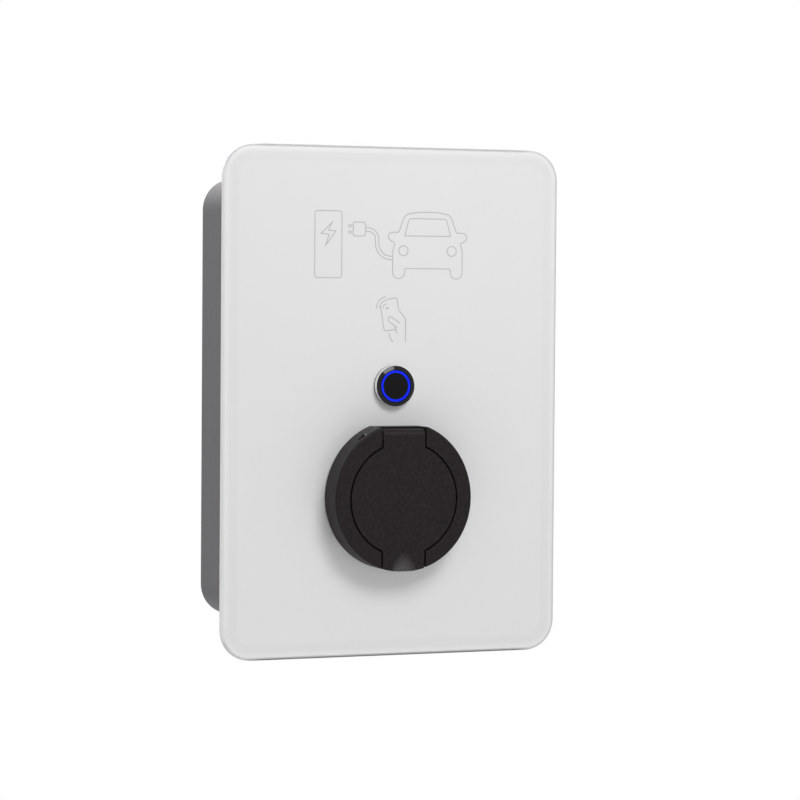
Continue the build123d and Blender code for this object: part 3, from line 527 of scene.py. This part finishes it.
# Operators
class WALLBOX_OT_front(bpy.types.Operator):
    """White back-painted glass with a ground edge, and painted shade and light on its border and edge"""

    bl_idname = "wallbox.front"
    bl_label = "Glass front"

    # Radius of the corners, and how far before and past their start the edge's painted shadow along the
    # foot turns into painted reflection
    corner = 19.5 * MM
    corner_before, corner_past = 8 * MM, 4 * MM
    # Width of the lowered border, and the painted shade and highlight on it from the edge inwards
    border = 12 * MM
    painted_border_shades = ((0.0, 0.95), (0.15, 1.0), (0.32, 1.0), (0.44, 0.955), (0.74, 0.945), (0.92, 0.97))
    # Distances from the panel's outside over which the edge, the painted shadow along the foot and the
    # painted reflection on the left, and the grinding fade
    edge_start, edge_end = 0.5 * MM, 2.1 * MM
    side_start, side_end = 0.5 * MM, 3.0 * MM
    ground_start, ground_end = 1.5 * MM, 4.0 * MM

    def execute(self, context):
        made = Finish("painted_glass", grain_effect(), grain=180.0, cloud=6.0)
        low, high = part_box("glass_panel")
        inset = self.inset(made, low, high)
        # Painted shade and highlight along the border, multiplied into the white paint
        painted_border_shade = made.ramp(made.between(inset, 0.0, 1.0, 0.0, self.border), self.painted_border_shades)
        front = made.product(made.tone(colours().glass, 0.006), painted_border_shade)
        # The edge's colour carries painted shade, a painted shadow and painted reflections
        edge = made.between(inset, 1.0, 0.0, self.edge_start, self.edge_end)
        made.base(made.mix(edge, front, self.edge_painted_light(made, low, high)))
        made.vary("Roughness", made.between(inset, 0.55, 0.16, self.ground_start, self.ground_end))
        made.vary("Coat Weight", made.between(inset, 0.0, 0.25, self.ground_start, self.ground_end))
        made.relief(strength=0.02, depth=0.05 * MM)
        made.set(Specular_IOR_Level=0.4, Coat_Roughness=0.04)
        paint_nodes(made, "glass_panel")
        return {"FINISHED"}

    def inset(self, made, low, high):
        """Distance from the panel's edge."""
        node = made.nodes.new("ShaderNodeGroup")
        node.node_tree = edge_effect()
        node.inputs["Half Width"].default_value = (high.x - low.x) / 2
        node.inputs["Half Height"].default_value = (high.z - low.z) / 2
        node.inputs["Corner"].default_value = self.corner
        made.links.new(made.place.outputs["Object"], node.inputs["Vector"])
        return node.outputs["Distance"]

    def edge_painted_light(self, made, low, high):
        """Painted light and shade on the ground edge: grey with painted shade along the top, a painted
        shadow along the foot, and painted reflections lighter at the corners and white on the left.
        """
        foot = made.between(made.axis("Z"), 1.0, 0.0, low.z + self.side_start, low.z + self.side_end)
        edge_light_and_shade = made.mix(foot, colours().glass_edge_and_painted_shade, colours().glass_foot_painted_shadow)
        across = made.step("ABSOLUTE", made.axis("X"))
        straight = high.x - self.corner
        ends = made.between(across, 0.0, 1.0, straight - self.corner_before, straight + self.corner_past)
        edge_light_and_shade = made.mix(ends, edge_light_and_shade, colours().glass_side_painted_reflection)
        left = made.between(made.axis("X"), 1.0, 0.0, low.x + self.side_start, low.x + self.side_end)
        return made.mix(left, edge_light_and_shade, colours().glass)


class WALLBOX_OT_enclosure(bpy.types.Operator):
    """Grey textured paint on the enclosure"""

    bl_idname = "wallbox.enclosure"
    bl_label = "Enclosure"

    def execute(self, context):
        look = {"spread": 0.20, "grain": 1500.0, "strength": 0.45, "level": 0.15, "cloud": 170.0}
        made = plastic("textured_paint", colours().enclosure, 0.55, **look)
        paint_nodes(made, "enclosure_body")
        return {"FINISHED"}


class WALLBOX_OT_socket(bpy.types.Operator):
    """Black grained bezel and lid, satin cavity, seals and contacts of the socket outlet"""

    bl_idname = "wallbox.socket"
    bl_label = "Socket outlet"

    # Height of the lid's thumb scoop, half its width at the foot, and the share from arch to foot at
    # which the painted light in the scoop is full
    scoop_tall = 12.4 * MM
    scoop_half = 9.4 * MM
    full_painted_light = 0.75
    # Normals of faces that look to the front, and of those that no longer do
    front_normal, side_normal = -0.6, -0.3

    def execute(self, context):
        self.mouldings()
        satin = plastic("satin_moulding", colours().cavity, 0.38, grain=700.0, strength=0.12, level=0.25)
        paint_nodes(satin, "socket_neck", "contact_base", "contact_island")
        rubber = plastic(
            "rubber", colours().rubber, 0.7, spread=0.15, grain=500.0, strength=0.15, level=0.2
        )
        paint_nodes(rubber, "socket_gasket", "lid_seal", "front_seal", "button_gasket", "gland_seal")
        silver = metal("silver_plate", colours().silver, 0.24)
        paint_nodes(silver, "power_contacts", "signal_contacts")
        steel = metal("bright_steel", colours().steel, 0.28)
        paint_nodes(steel, "hinge_pin", "lid_spring", "lock_pin")
        paint_nodes(steel, "contact_base_screws", "button_spring", "board_screws")
        return {"FINISHED"}

    def mouldings(self):
        """Black grain on bezel and ring nut, and on the lid, whose thumb scoop has a painted highlight.
        """
        look = {"spread": 0.9, "grain": 1400.0, "strength": 1.0, "level": 0.12, "cloud": 700.0}
        bezel = plastic("grained_moulding", colours().moulding, 0.46, **look)
        paint_nodes(bezel, "socket_bezel", "socket_ring_nut")
        lid = plastic("grained_lid", colours().moulding, 0.46, **look)
        plain = lid.tone(colours().moulding, look["spread"])
        # The scoop's lighter tone is a painted highlight
        lid.base(lid.mix(self.scoop_painted_light(lid), plain, lid.tone(colours().scoop, 0.6)))
        paint_nodes(lid, "socket_lid")

    def scoop_painted_light(self, lid):
        """Painted light in the scoop: most at its foot, less towards its arched edge, and only on faces
        that look to the front.
        """
        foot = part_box("socket_lid")[0].z
        below = lid.between(lid.axis("Z"), 1.0, 0.0, foot, foot + self.scoop_tall)
        aside = lid.between(lid.step("ABSOLUTE", lid.axis("X")), 0.0, 1.0, 0.0, self.scoop_half)
        bowl = lid.step("SUBTRACT", below, lid.step("POWER", aside, 2.0))
        front = lid.between(lid.axis("Y", "Normal"), 1.0, 0.0, self.front_normal, self.side_normal)
        return lid.step("MULTIPLY", lid.between(bowl, 0.0, 1.0, 0.0, self.full_painted_light), front)


class WALLBOX_OT_button(bpy.types.Operator):
    """Gloss bezel with a bright side, lit ring and satin cap of the push-button"""

    bl_idname = "wallbox.button"
    bl_label = "Push-button"

    # Depth at which the bezel's bright side starts, and the seam there
    side_depth = 0.9 * MM
    seam = 0.05 * MM
    # Clear coat of the bevel, and how squarely a face looks to the front where it starts and ends
    bevel_coat = 0.75
    bevel_facing, flat_facing = 0.90, 0.99

    def execute(self, context):
        self.bezel()
        ring = Finish("lit_ring", grain_effect(), grain=300.0, cloud=90.0)
        ring.base(ring.tone(colours().lamp_off, 0.1)).rough(0.3, 0.03)
        ring.vary("Emission Color", ring.tone(colours().lamp, 0.03))
        ring.set(Emission_Strength=1.0, Specular_IOR_Level=0.15)
        paint_nodes(ring, "button_light_ring")
        cap = plastic("satin_cap", colours().cap, 0.4, strength=0.1, level=0.04)
        paint_nodes(cap, "button_cap")
        return {"FINISHED"}

    def bezel(self):
        """Black gloss in front, bright metal round the side."""
        made = Finish("gloss_bezel", grain_effect(), grain=300.0, cloud=40.0)
        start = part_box("button_body")[0].y + self.side_depth
        side = made.between(made.axis("Y"), 0.0, 1.0, start, start + self.seam)
        made.base(made.mix(side, made.tone(colours().bezel, 0.2), colours().bezel_side))
        made.vary("Metallic", side)
        facing = made.step("ABSOLUTE", made.axis("Y", "Normal"))
        coat = made.between(facing, self.bevel_coat, 0.0, self.bevel_facing, self.flat_facing)
        made.vary("Coat Weight", coat)
        made.rough(0.14, 0.02)
        made.set(Specular_IOR_Level=0.05, Coat_Roughness=0.06)
        paint_nodes(made, "button_body")


class WALLBOX_OT_metalwork(bpy.types.Operator):
    """Zinc plated tray, nuts, spacers and earthing stud"""

    bl_idname = "wallbox.metalwork"
    bl_label = "Metalwork"

    def execute(self, context):
        zinc = metal("zinc_plate", colours().zinc, 0.42)
        paint_nodes(zinc, "front_carrier", "earth_stud", "button_nut", "board_spacers", "radio_module")
        return {"FINISHED"}


class WALLBOX_OT_electronics(bpy.types.Operator):
    """Boards and components inside the enclosure"""

    bl_idname = "wallbox.electronics"
    bl_label = "Electronics"

    # Noise past which the board shows a track, with a soft border
    track_start, track_end = 0.52, 0.56
    # Finish, colour and roughness of each kind of case, and the nodes that have it
    cases = (
        ("drive_case", (0.022, 0.022, 0.024), 0.5, ("lock_actuator", "button_switch", "power_supply")),
        ("relay_case", (0.012, 0.012, 0.014), 0.42, ("power_relays", "current_sensor")),
        ("terminal_case", (0.26, 0.27, 0.29), 0.42, ("supply_terminals", "output_terminals")),
        ("header_case", (0.68, 0.66, 0.58), 0.42, ("board_headers",)),
        ("can_sleeve", (0.008, 0.010, 0.030), 0.42, ("capacitors",)),
    )

    def execute(self, context):
        board = Finish("solder_mask", grain_effect(), grain=700.0, cloud=900.0)
        track = board.between(board.effect.outputs["Tone"], 0.0, 1.0, self.track_start, self.track_end)
        board.base(board.mix(track, colours().board, colours().track))
        board.rough(0.35, 0.05).set(Specular_IOR_Level=0.4)
        paint_nodes(board, "control_board", "card_reader_board")
        for name, rgb, roughness, nodes in self.cases:
            paint_nodes(plastic(name, rgb, roughness), *nodes)
        return {"FINISHED"}


class WALLBOX_OT_leads(bpy.types.Operator):
    """Coloured insulation of the conductors"""

    bl_idname = "wallbox.leads"
    bl_label = "Leads"

    # Finish and colour of each jacket, and the leads that have it
    jackets = (
        ("brown_jacket", (0.10, 0.035, 0.014), ("lead_l1",)),
        ("black_jacket", (0.010, 0.010, 0.010), ("lead_l2", "signal_leads", "reader_lead")),
        ("grey_jacket", (0.18, 0.18, 0.19), ("lead_l3", "button_leads")),
        ("blue_jacket", (0.010, 0.050, 0.32), ("lead_n",)),
    )
    # Where the earth lead's stripe starts and is full, beside its middle
    stripe_start, stripe_end = 0.3 * MM, 0.4 * MM
    spread = 0.08

    def execute(self, context):
        for name, rgb, nodes in self.jackets:
            paint_nodes(self.jacket(name, rgb), *nodes)
        earth = self.jacket("striped_jacket", colours().earth)
        stripe = earth.between(earth.axis("X"), 0.0, 1.0, self.stripe_start, self.stripe_end)
        earth.base(earth.mix(stripe, earth.tone(colours().earth, self.spread), colours().stripe))
        paint_nodes(earth, "lead_pe")
        return {"FINISHED"}

    def jacket(self, name, rgb):
        """Smooth insulation."""
        return plastic(name, rgb, 0.4, spread=self.spread, grain=600.0, strength=0.1)


class WALLBOX_OT_gland(bpy.types.Operator):
    """Black cable gland with a ribbed cap"""

    bl_idname = "wallbox.gland"
    bl_label = "Cable gland"

    # Radius of the cable's way, and the cap's rounded foot as distances inwards and upwards
    mouth = 9.0 * MM
    foot = ((3.5 * MM, 0.0), (1.2 * MM, 0.9 * MM), (0.0, 3.2 * MM))
    # Chamfer of the cap's top, inwards and downwards, and how far a rib's crest is set in
    chamfer_in, chamfer_down = 0.6 * MM, 0.8 * MM
    crest = 0.12 * MM
    # Most height in an upright face's normal, and the share of the radius past which it is outside
    upright = 0.1
    outermost = 0.99

    def execute(self, context):
        made = plastic("gland_plastic", colours().gland, 0.5, grain=800.0, strength=0.2)
        paint_nodes(made, "gland_body", "gland_locknut", "gland_cap")
        low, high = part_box("gland_cap")
        seal_low, seal_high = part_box("gland_seal")
        wall = (high.x - low.x) / 2 - sizes().rib_depth
        sleeve = (seal_high.x - seal_low.x) / 2
        lip = seal_low.z
        profile = [(self.mouth, lip), (self.mouth, low.z)]
        profile += [(wall - inwards, low.z + upwards) for inwards, upwards in self.foot]
        profile += [(wall, high.z - self.chamfer_down), (wall - self.chamfer_in, high.z)]
        profile += [(sleeve, high.z), (sleeve, lip), (self.mouth, lip)]
        bm = turned(profile, steps=2 * sizes().ribs)
        self.raise_ribs(bm, wall)
        middle = (low + high) / 2
        bmesh.ops.translate(bm, verts=bm.verts, vec=(middle.x, middle.y, 0))
        add_piece("ribbed_gland_cap", bm, made, ("gland_cap",))
        return {"FINISHED"}

    def raise_ribs(self, bm, wall):
        """Raises every second face of the outer wall."""
        def centre(face):
            return face.calc_center_median().xy

        upright = [face for face in bm.faces if abs(face.normal.z) < self.upright]
        outer = [face for face in upright if centre(face).length > wall * self.outermost]
        outer.sort(key=lambda face: centre(face).angle_signed(Vector((1, 0))))
        bmesh.ops.inset_individual(
            bm, faces=outer[::2], thickness=self.crest, depth=sizes().rib_depth, use_even_offset=True
        )


class WALLBOX_OT_screws(bpy.types.Operator):
    """Four button-head screws with hexagon recesses in the enclosure's top and bottom"""

    bl_idname = "wallbox.screws"
    bl_label = "Front screws"

    # How many times wider the head is than the shank, the shank's length, and its tip's length and width
    head_to_shank = 1.9
    shank_length = 9 * MM
    tip_length = 1 * MM
    tip_share = 0.8
    # The head's dome as shares of its radius and height, and the height of the recess's floor
    dome = ((1.0, 0.35), (0.9, 0.72), (0.72, 1.0))
    recess_floor = 0.25
    # Steps round a screw, four to each flat of the recess, and the angle of a flat
    steps = 24
    flat = 60

    def execute(self, context):
        low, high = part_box("front_screws")
        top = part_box("enclosure_body")[1].z
        middle = (low + high) / 2
        head = (high.y - low.y) / 2
        tall = high.z - top
        bore = sizes().recess / 2
        bm = turned(self.profile(head, tall, bore), self.steps)
        self.shape_recess(bm, bore)
        bmesh.ops.translate(bm, verts=bm.verts, vec=(high.x - head, middle.y, top))
        for mirror in ("X", "Z"):
            screws = bm.verts[:] + bm.edges[:] + bm.faces[:]
            bmesh.ops.mirror(bm, geom=screws, axis=mirror, merge_dist=-1)
        steel = metal("screw_steel", colours().steel, 0.25)
        paint_nodes(steel, "front_screws")
        add_piece("recessed_front_screws", bm, steel, ("front_screws",))
        return {"FINISHED"}

    def profile(self, head, tall, bore):
        """Radii and heights from the tip, over the head, to the recess's floor."""
        shank = head / self.head_to_shank
        floor = tall * self.recess_floor
        points = [(0, -self.shank_length), (shank * self.tip_share, -self.shank_length)]
        points += [(shank, self.tip_length - self.shank_length), (shank, 0), (head, 0)]
        points += [(head * out, tall * up) for out, up in self.dome]
        points += [(bore, tall), (bore, floor), (0, floor)]
        return points

    def shape_recess(self, bm, bore):
        """Moves the round bore's vertices onto a hexagon."""
        for vert in bm.verts:
            if abs(vert.co.xy.length - bore) < 10 * MERGE and vert.co.z > 0:
                aside = degrees(vert.co.xy.angle_signed(Vector((1, 0)))) % self.flat - self.flat / 2
                vert.co.xy = vert.co.xy * cos(radians(self.flat / 2)) / cos(radians(aside))


class WALLBOX_OT_springs(bpy.types.Operator):
    """Round-wire springs, built at rest: in the real wallbox the lid's winds up as it opens, the button's
    shortens as it is pressed
    """

    bl_idname = "wallbox.springs"
    bl_label = "Springs"

    # Turns of the two springs, sides of the wire, and steps to a turn
    lid_turns = 3.25
    button_turns = 3
    wire_sides = 12
    turn_steps = 32

    def execute(self, context):
        steel = metal("spring_steel", colours().steel, 0.25)
        self.lid_spring(steel)
        self.button_spring(steel)
        return {"FINISHED"}

    def coil(self, place, wire, centre, axis, run, turns):
        """A coil of round wire, and the faces at its two ends."""
        bm = bmesh.new()
        bmesh.ops.create_circle(
            bm, cap_ends=True, segments=self.wire_sides, radius=wire / 2, matrix=place
        )
        bm.faces.ensure_lookup_table()
        first = bm.faces[0]
        steps = round(turns * self.turn_steps)
        made = bmesh.ops.spin(
            bm, geom=[first, *first.edges, *first.verts], cent=centre, axis=axis,
            dvec=Vector(axis) * run / steps, angle=2 * pi * turns, steps=steps,
        )
        last = new_geometry(made["geom_last"], bmesh.types.BMFace)[0]
        return bm, first, last

    def leg(self, bm, face, run):
        """A straight end of the wire."""
        made = bmesh.ops.extrude_face_region(bm, geom=[face])["geom"]
        bmesh.ops.translate(bm, verts=new_geometry(made, bmesh.types.BMVert), vec=run)
        bmesh.ops.delete(bm, geom=[face], context="FACES_ONLY")

    def lid_spring(self, steel):
        """Torsion spring on the hinge pin, with one leg in the bezel and the other in the lid."""
        low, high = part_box("lid_spring")
        wire, radius = sizes().lid_wire, sizes().lid_coil
        reach = radius + wire / 2
        pin = Vector((low.x + wire / 2, low.y + reach, high.z - reach))
        place = Matrix.Translation(pin + Vector((0, 0, radius))) @ Matrix.Rotation(pi / 2, 4, "X")
        run = high.x - low.x - wire
        bm, first, last = self.coil(place, wire, pin, (1, 0, 0), run, self.lid_turns)
        self.leg(bm, first, (0, high.y - pin.y, 0))
        self.leg(bm, last, (0, 0, low.z - pin.z))
        joins = ("lid", (low.x + wire, pin.y, pin.z), (high.x - wire, pin.y, pin.z))
        add_piece("coiled_lid_spring", bm, steel, ("lid_spring",), joins)

    def button_spring(self, steel):
        """Compression spring between the switch barrel and the cap's plunger."""
        low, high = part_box("button_spring")
        wire = sizes().button_wire
        middle = (low + high) / 2
        foot = Vector((middle.x, high.y - wire / 2, middle.z))
        place = Matrix.Translation((high.x - wire / 2, foot.y, foot.z))
        run = high.y - low.y - wire
        bm = self.coil(place, wire, foot, (0, -1, 0), run, self.button_turns)[0]
        joins = ("button", (middle.x, high.y - wire, middle.z), (middle.x, low.y + wire, middle.z))
        add_piece("coiled_button_spring", bm, steel, ("button_spring",), joins)


class WALLBOX_OT_signs(bpy.types.Operator):
    """Thin printed signs on the glass: charging post, plug and car, and a hand with a card"""

    bl_idname = "wallbox.signs"
    bl_label = "Signs"

    # How far the print reaches into the glass
    sink = 0.01 * MM

    def execute(self, context):
        face_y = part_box("glass_panel")[0].y
        pen = Pen(sizes().line, face_y + self.sink)
        for sign in (self.post, self.plug, self.car, self.card):
            sign(pen)
        bm = pen.bm
        bmesh.ops.remove_doubles(bm, verts=bm.verts, dist=MERGE)
        bm.normal_update()
        for face in bm.faces:
            if face.normal.y > 0:
                face.normal_flip()
        bmesh.ops.solidify(bm, geom=bm.faces[:], thickness=sizes().print_depth + self.sink)
        shift = face_y - sizes().print_depth - min(v.co.y for v in bm.verts)
        bmesh.ops.translate(bm, verts=bm.verts, vec=(0, shift, 0))
        ink = plastic(
            "printed_grey", colours().sign, 0.5, spread=0.05, grain=400.0, strength=0.02, level=0.2
        )
        add_piece("glass_signs", bm, ink)
        return {"FINISHED"}

    def post(self, pen):
        """Charging post with a bolt."""
        turn = 2.2
        west, east, low, top = -53.0, -34.5, 77.2, 119.4
        pen.outline([(west, top, turn), (east, top, turn), (east, low, turn), (west, low, turn)])
        bolt = [(-40.4, 113.3), (-49.2, 104.7), (-43.6, 104.2)]
        bolt += [(-46.3, 96.1), (-38.3, 106.9), (-43.2, 107.2)]
        pen.outline([(x, z, 0) for x, z in bolt])

    def plug(self, pen):
        """Plug with two prongs, and its cable as two lines."""
        west, east, low, top = -27.4, -18.7, 103.4, 112.6
        tip, prong = -30.6, 1.7
        taper_x, taper_z = 0.9, 2
        corners = [(west, top, 0.8), (east - taper_x, top, 1.0), (east, top - taper_z, 0.5)]
        corners += [(east, low + taper_z, 0.5), (east - taper_x, low, 1.0), (west, low, 0.8)]
        for root in (105.2, 109.1):
            corners += [(west, root, 0), (tip, root, 0.8)]
            corners += [(tip, root + prong, 0.8), (west, root + prong, 0)]
        pen.outline(corners)
        middle, half = 107.7, 1.1
        first_bend, second_bend = 6, 9
        for offset in (half, -half):
            moves = [1.5, (first_bend + offset, -90), 2.5, (second_bend - offset, 90), 1.0]
            pen.stroke(east, middle + offset, 0, moves)

    def car(self, pen):
        """Front of a car."""
        middle = 22.9
        body = [
            (7.0, 119.4, 3.0), (15.6, 117.6, 2.4), (19.8, 106.6, 0.8), (26.7, 106.6, 2.6),
            (26.7, 101.6, 1.8), (22.4, 99.4, 0.8), (23.9, 95.0, 1.5), (23.9, 77.1, 4.2),
            (15.2, 77.1, 4.2), (15.2, 83.4, 0.7),
        ]
        pane = [(12.8, 115.3, 1.6), (15.9, 103.9, 0.5)]
        for half in (body, pane):
            right = [(middle + x, z, turn) for x, z, turn in half]
            left = [(middle - x, z, turn) for x, z, turn in reversed(half)]
            pen.outline(right + left)
        lamp_x, lamp_z, lamp_radius = 16.4, 94.8, 3.4
        for side in (-1, 1):
            pen.circle(middle + side * lamp_x, lamp_z, lamp_radius)

    def card(self, pen):
        """Hand that holds a card, with radio arcs at the card's corner."""
        lean = 9.5
        pen.stroke(-4.6, 64.2, lean, [5.4, (1.6, -90), 6.2])
        pen.stroke(-8.6, 59.8, lean - 90, [14.2, (1.6, 90), 6.6])
        dot_x, dot_z = -4.1, 58.7
        pen.dot(dot_x, dot_z, 0.75)
        start, sweep = 98, 84
        across, up = cos(radians(start)), sin(radians(start))
        for radius in (2.8, 5.0, 7.2):
            pen.stroke(dot_x + radius * across, dot_z + radius * up, start + 90, [(radius, sweep)])
        pen.stroke(4.6, 49.3, 146, [6.6, (1.65, 180), 6.2])
        pen.stroke(3.9, 57.2, -48, [5.6, (2.5, -42), 13.6])
        pen.stroke(-2.8, 43.2, -88, [(7.5, 42), 0.8])
        pen.stroke(1.2, 47.2, -72, [4.6])


class WALLBOX_OT_stage(bpy.types.Operator):
    """White surroundings, pale floor, soft lamps and the camera"""

    bl_idname = "wallbox.stage"
    bl_label = "Stage"

    # Width of the camera's sensor in millimetres, and the point that the lamps face
    sensor = 36.0
    target = Vector((0, -0.1, 0))
    # Shares of the even light from the floor's side and from above
    from_floor, from_above = 1.2, 0.8
    # Sides and roughness of the floor, and how much of it is plain white to the eye
    floor_sides = 96
    floor_roughness = 0.9
    floor_white = 0.55

    def execute(self, context):
        scene = context.scene
        scene.view_settings.view_transform = "Standard"
        self.camera(scene)
        self.world(scene)
        self.floor(scene)
        self.lamp(scene, "key_lamp", studio().key_place, studio().key_size, studio().key)
        self.lamp(scene, "top_lamp", studio().top_place, studio().top_size, studio().top)
        return {"FINISHED"}

    def camera(self, scene):
        """The photograph's viewing angle."""
        yaw, pitch, roll = studio().aim
        turn = Matrix.Rotation(yaw, 4, "Z")
        turn = turn @ Matrix.Rotation(pitch, 4, "X") @ Matrix.Rotation(roll, 4, "Y")
        data = bpy.data.cameras.new("camera")
        data.sensor_width = self.sensor
        data.lens = studio().lens
        eye = bpy.data.objects.new("camera", data)
        eye.matrix_world = Matrix.Translation(studio().eye) @ turn @ Matrix.Rotation(pi / 2, 4, "X")
        scene.collection.objects.link(eye)
        scene.camera = eye

    def sight(self, tree):
        """Rays that show a thing to the camera, straight, mirrored or through glass."""
        path = tree.nodes.new("ShaderNodeLightPath")
        seen = path.outputs["Is Camera Ray"]
        for way in ("Is Glossy Ray", "Is Transmission Ray"):
            seen = reckon(tree, "MAXIMUM", seen, path.outputs[way])
        return seen

    def show(self, tree, share, plain, seen, output):
        """One shader for the light, and by a share another for the eye."""
        mix = tree.nodes.new("ShaderNodeMixShader")
        tree.links.new(share, mix.inputs[0])
        tree.links.new(plain.outputs[0], mix.inputs[1])
        tree.links.new(seen.outputs[0], mix.inputs[2])
        tree.links.new(mix.outputs[0], tree.nodes[output].inputs["Surface"])

    def world(self, scene):
        """White to the eye, otherwise an even light that is stronger from the pale floor."""
        world = bpy.data.worlds.new("white_room")
        world.use_nodes = True
        scene.world = world
        tree = world.node_tree
        place = tree.nodes.new("ShaderNodeTexCoord")
        height = tree.nodes.new("ShaderNodeSeparateXYZ")
        tree.links.new(place.outputs["Generated"], height.inputs[0])
        strength = tree.nodes.new("ShaderNodeMapRange")
        tree.links.new(height.outputs["Z"], strength.inputs["Value"])
        strength.inputs["From Min"].default_value = -1.0
        strength.inputs["To Min"].default_value = studio().sky * self.from_floor
        strength.inputs["To Max"].default_value = studio().sky * self.from_above
        sky = tree.nodes["Background"]
        sky.inputs["Color"].default_value = WHITE
        tree.links.new(strength.outputs["Result"], sky.inputs["Strength"])
        white = tree.nodes.new("ShaderNodeBackground")
        white.inputs["Color"].default_value = WHITE
        white.inputs["Strength"].default_value = 1.0
        self.show(tree, self.sight(tree), sky, white, "World Output")

    def floor(self, scene):
        """A round pale floor below the wallbox, which keeps its shadow."""
        low, high = cad_box
        bm = bmesh.new()
        place = Matrix.Translation((0, (low[1] + high[1]) / 2, low[2] - studio().floor_drop))
        bmesh.ops.create_circle(
            bm, cap_ends=True, segments=self.floor_sides, radius=studio().floor_radius, matrix=place
        )
        mesh = bpy.data.meshes.new("floor")
        bm.to_mesh(mesh)
        bm.free()
        material = bpy.data.materials.new("pale_floor")
        material.use_nodes = True
        tree = material.node_tree
        pale = tree.nodes["Principled BSDF"]
        pale.inputs["Base Color"].default_value = (*colours().floor, 1.0)
        pale.inputs["Roughness"].default_value = self.floor_roughness
        white = tree.nodes.new("ShaderNodeEmission")
        white.inputs["Color"].default_value = WHITE
        share = reckon(tree, "MULTIPLY", self.sight(tree), self.floor_white)
        self.show(tree, share, pale, white, "Material Output")
        mesh.materials.append(material)
        floor = bpy.data.objects.new("floor", mesh)
        scene.collection.objects.link(floor)

    def lamp(self, scene, name, place, size, energy):
        """A soft square lamp that faces the wallbox."""
        data = bpy.data.lights.new(name, "AREA")
        data.size = size
        data.energy = energy
        lamp = bpy.data.objects.new(name, data)
        aim = self.target - Vector(place)
        lamp.matrix_world = Matrix.Translation(place) @ aim.to_track_quat("-Z", "Y").to_matrix().to_4x4()
        scene.collection.objects.link(lamp)


OPERATORS = (
    WALLBOX_OT_front,
    WALLBOX_OT_enclosure,
    WALLBOX_OT_socket,
    WALLBOX_OT_button,
    WALLBOX_OT_metalwork,
    WALLBOX_OT_electronics,
    WALLBOX_OT_leads,
    WALLBOX_OT_gland,
    WALLBOX_OT_screws,
    WALLBOX_OT_springs,
    WALLBOX_OT_signs,
    WALLBOX_OT_stage,
)


class WALLBOX_PT_panel(bpy.types.Panel):
    """Lists the pieces of the wallbox"""

    bl_label = "Wallbox"
    bl_idname = "WALLBOX_PT_panel"
    bl_space_type = "VIEW_3D"
    bl_region_type = "UI"
    bl_category = "Wallbox"

    def draw(self, context):
        for operator in OPERATORS:
            self.layout.operator(operator.bl_idname)
        for group in (colours(), sizes(), studio()):
            for key in group.__annotations__:
                self.layout.prop(group, key)


CLASSES = (WallboxColours, WallboxSizes, WallboxStudio, *OPERATORS, WALLBOX_PT_panel)


def register():
    """Registers the classes and hangs the properties on the scene."""
    for item in CLASSES:
        bpy.utils.register_class(item)
    bpy.types.Scene.wallbox_colours = PointerProperty(type=WallboxColours)
    bpy.types.Scene.wallbox_sizes = PointerProperty(type=WallboxSizes)
    bpy.types.Scene.wallbox_studio = PointerProperty(type=WallboxStudio)


def unregister():
    """Takes the properties and classes away again."""
    del bpy.types.Scene.wallbox_studio
    del bpy.types.Scene.wallbox_sizes
    del bpy.types.Scene.wallbox_colours
    for item in reversed(CLASSES):
        bpy.utils.unregister_class(item)


def main():
    """Runs the operators in order."""
    register()
    for operator in OPERATORS:
        group, name = operator.bl_idname.split(".")
        if getattr(getattr(bpy.ops, group), name)() != {"FINISHED"}:
            raise RuntimeError(f"{operator.bl_label} could not be finished")


if __name__ == "__main__":
    main()
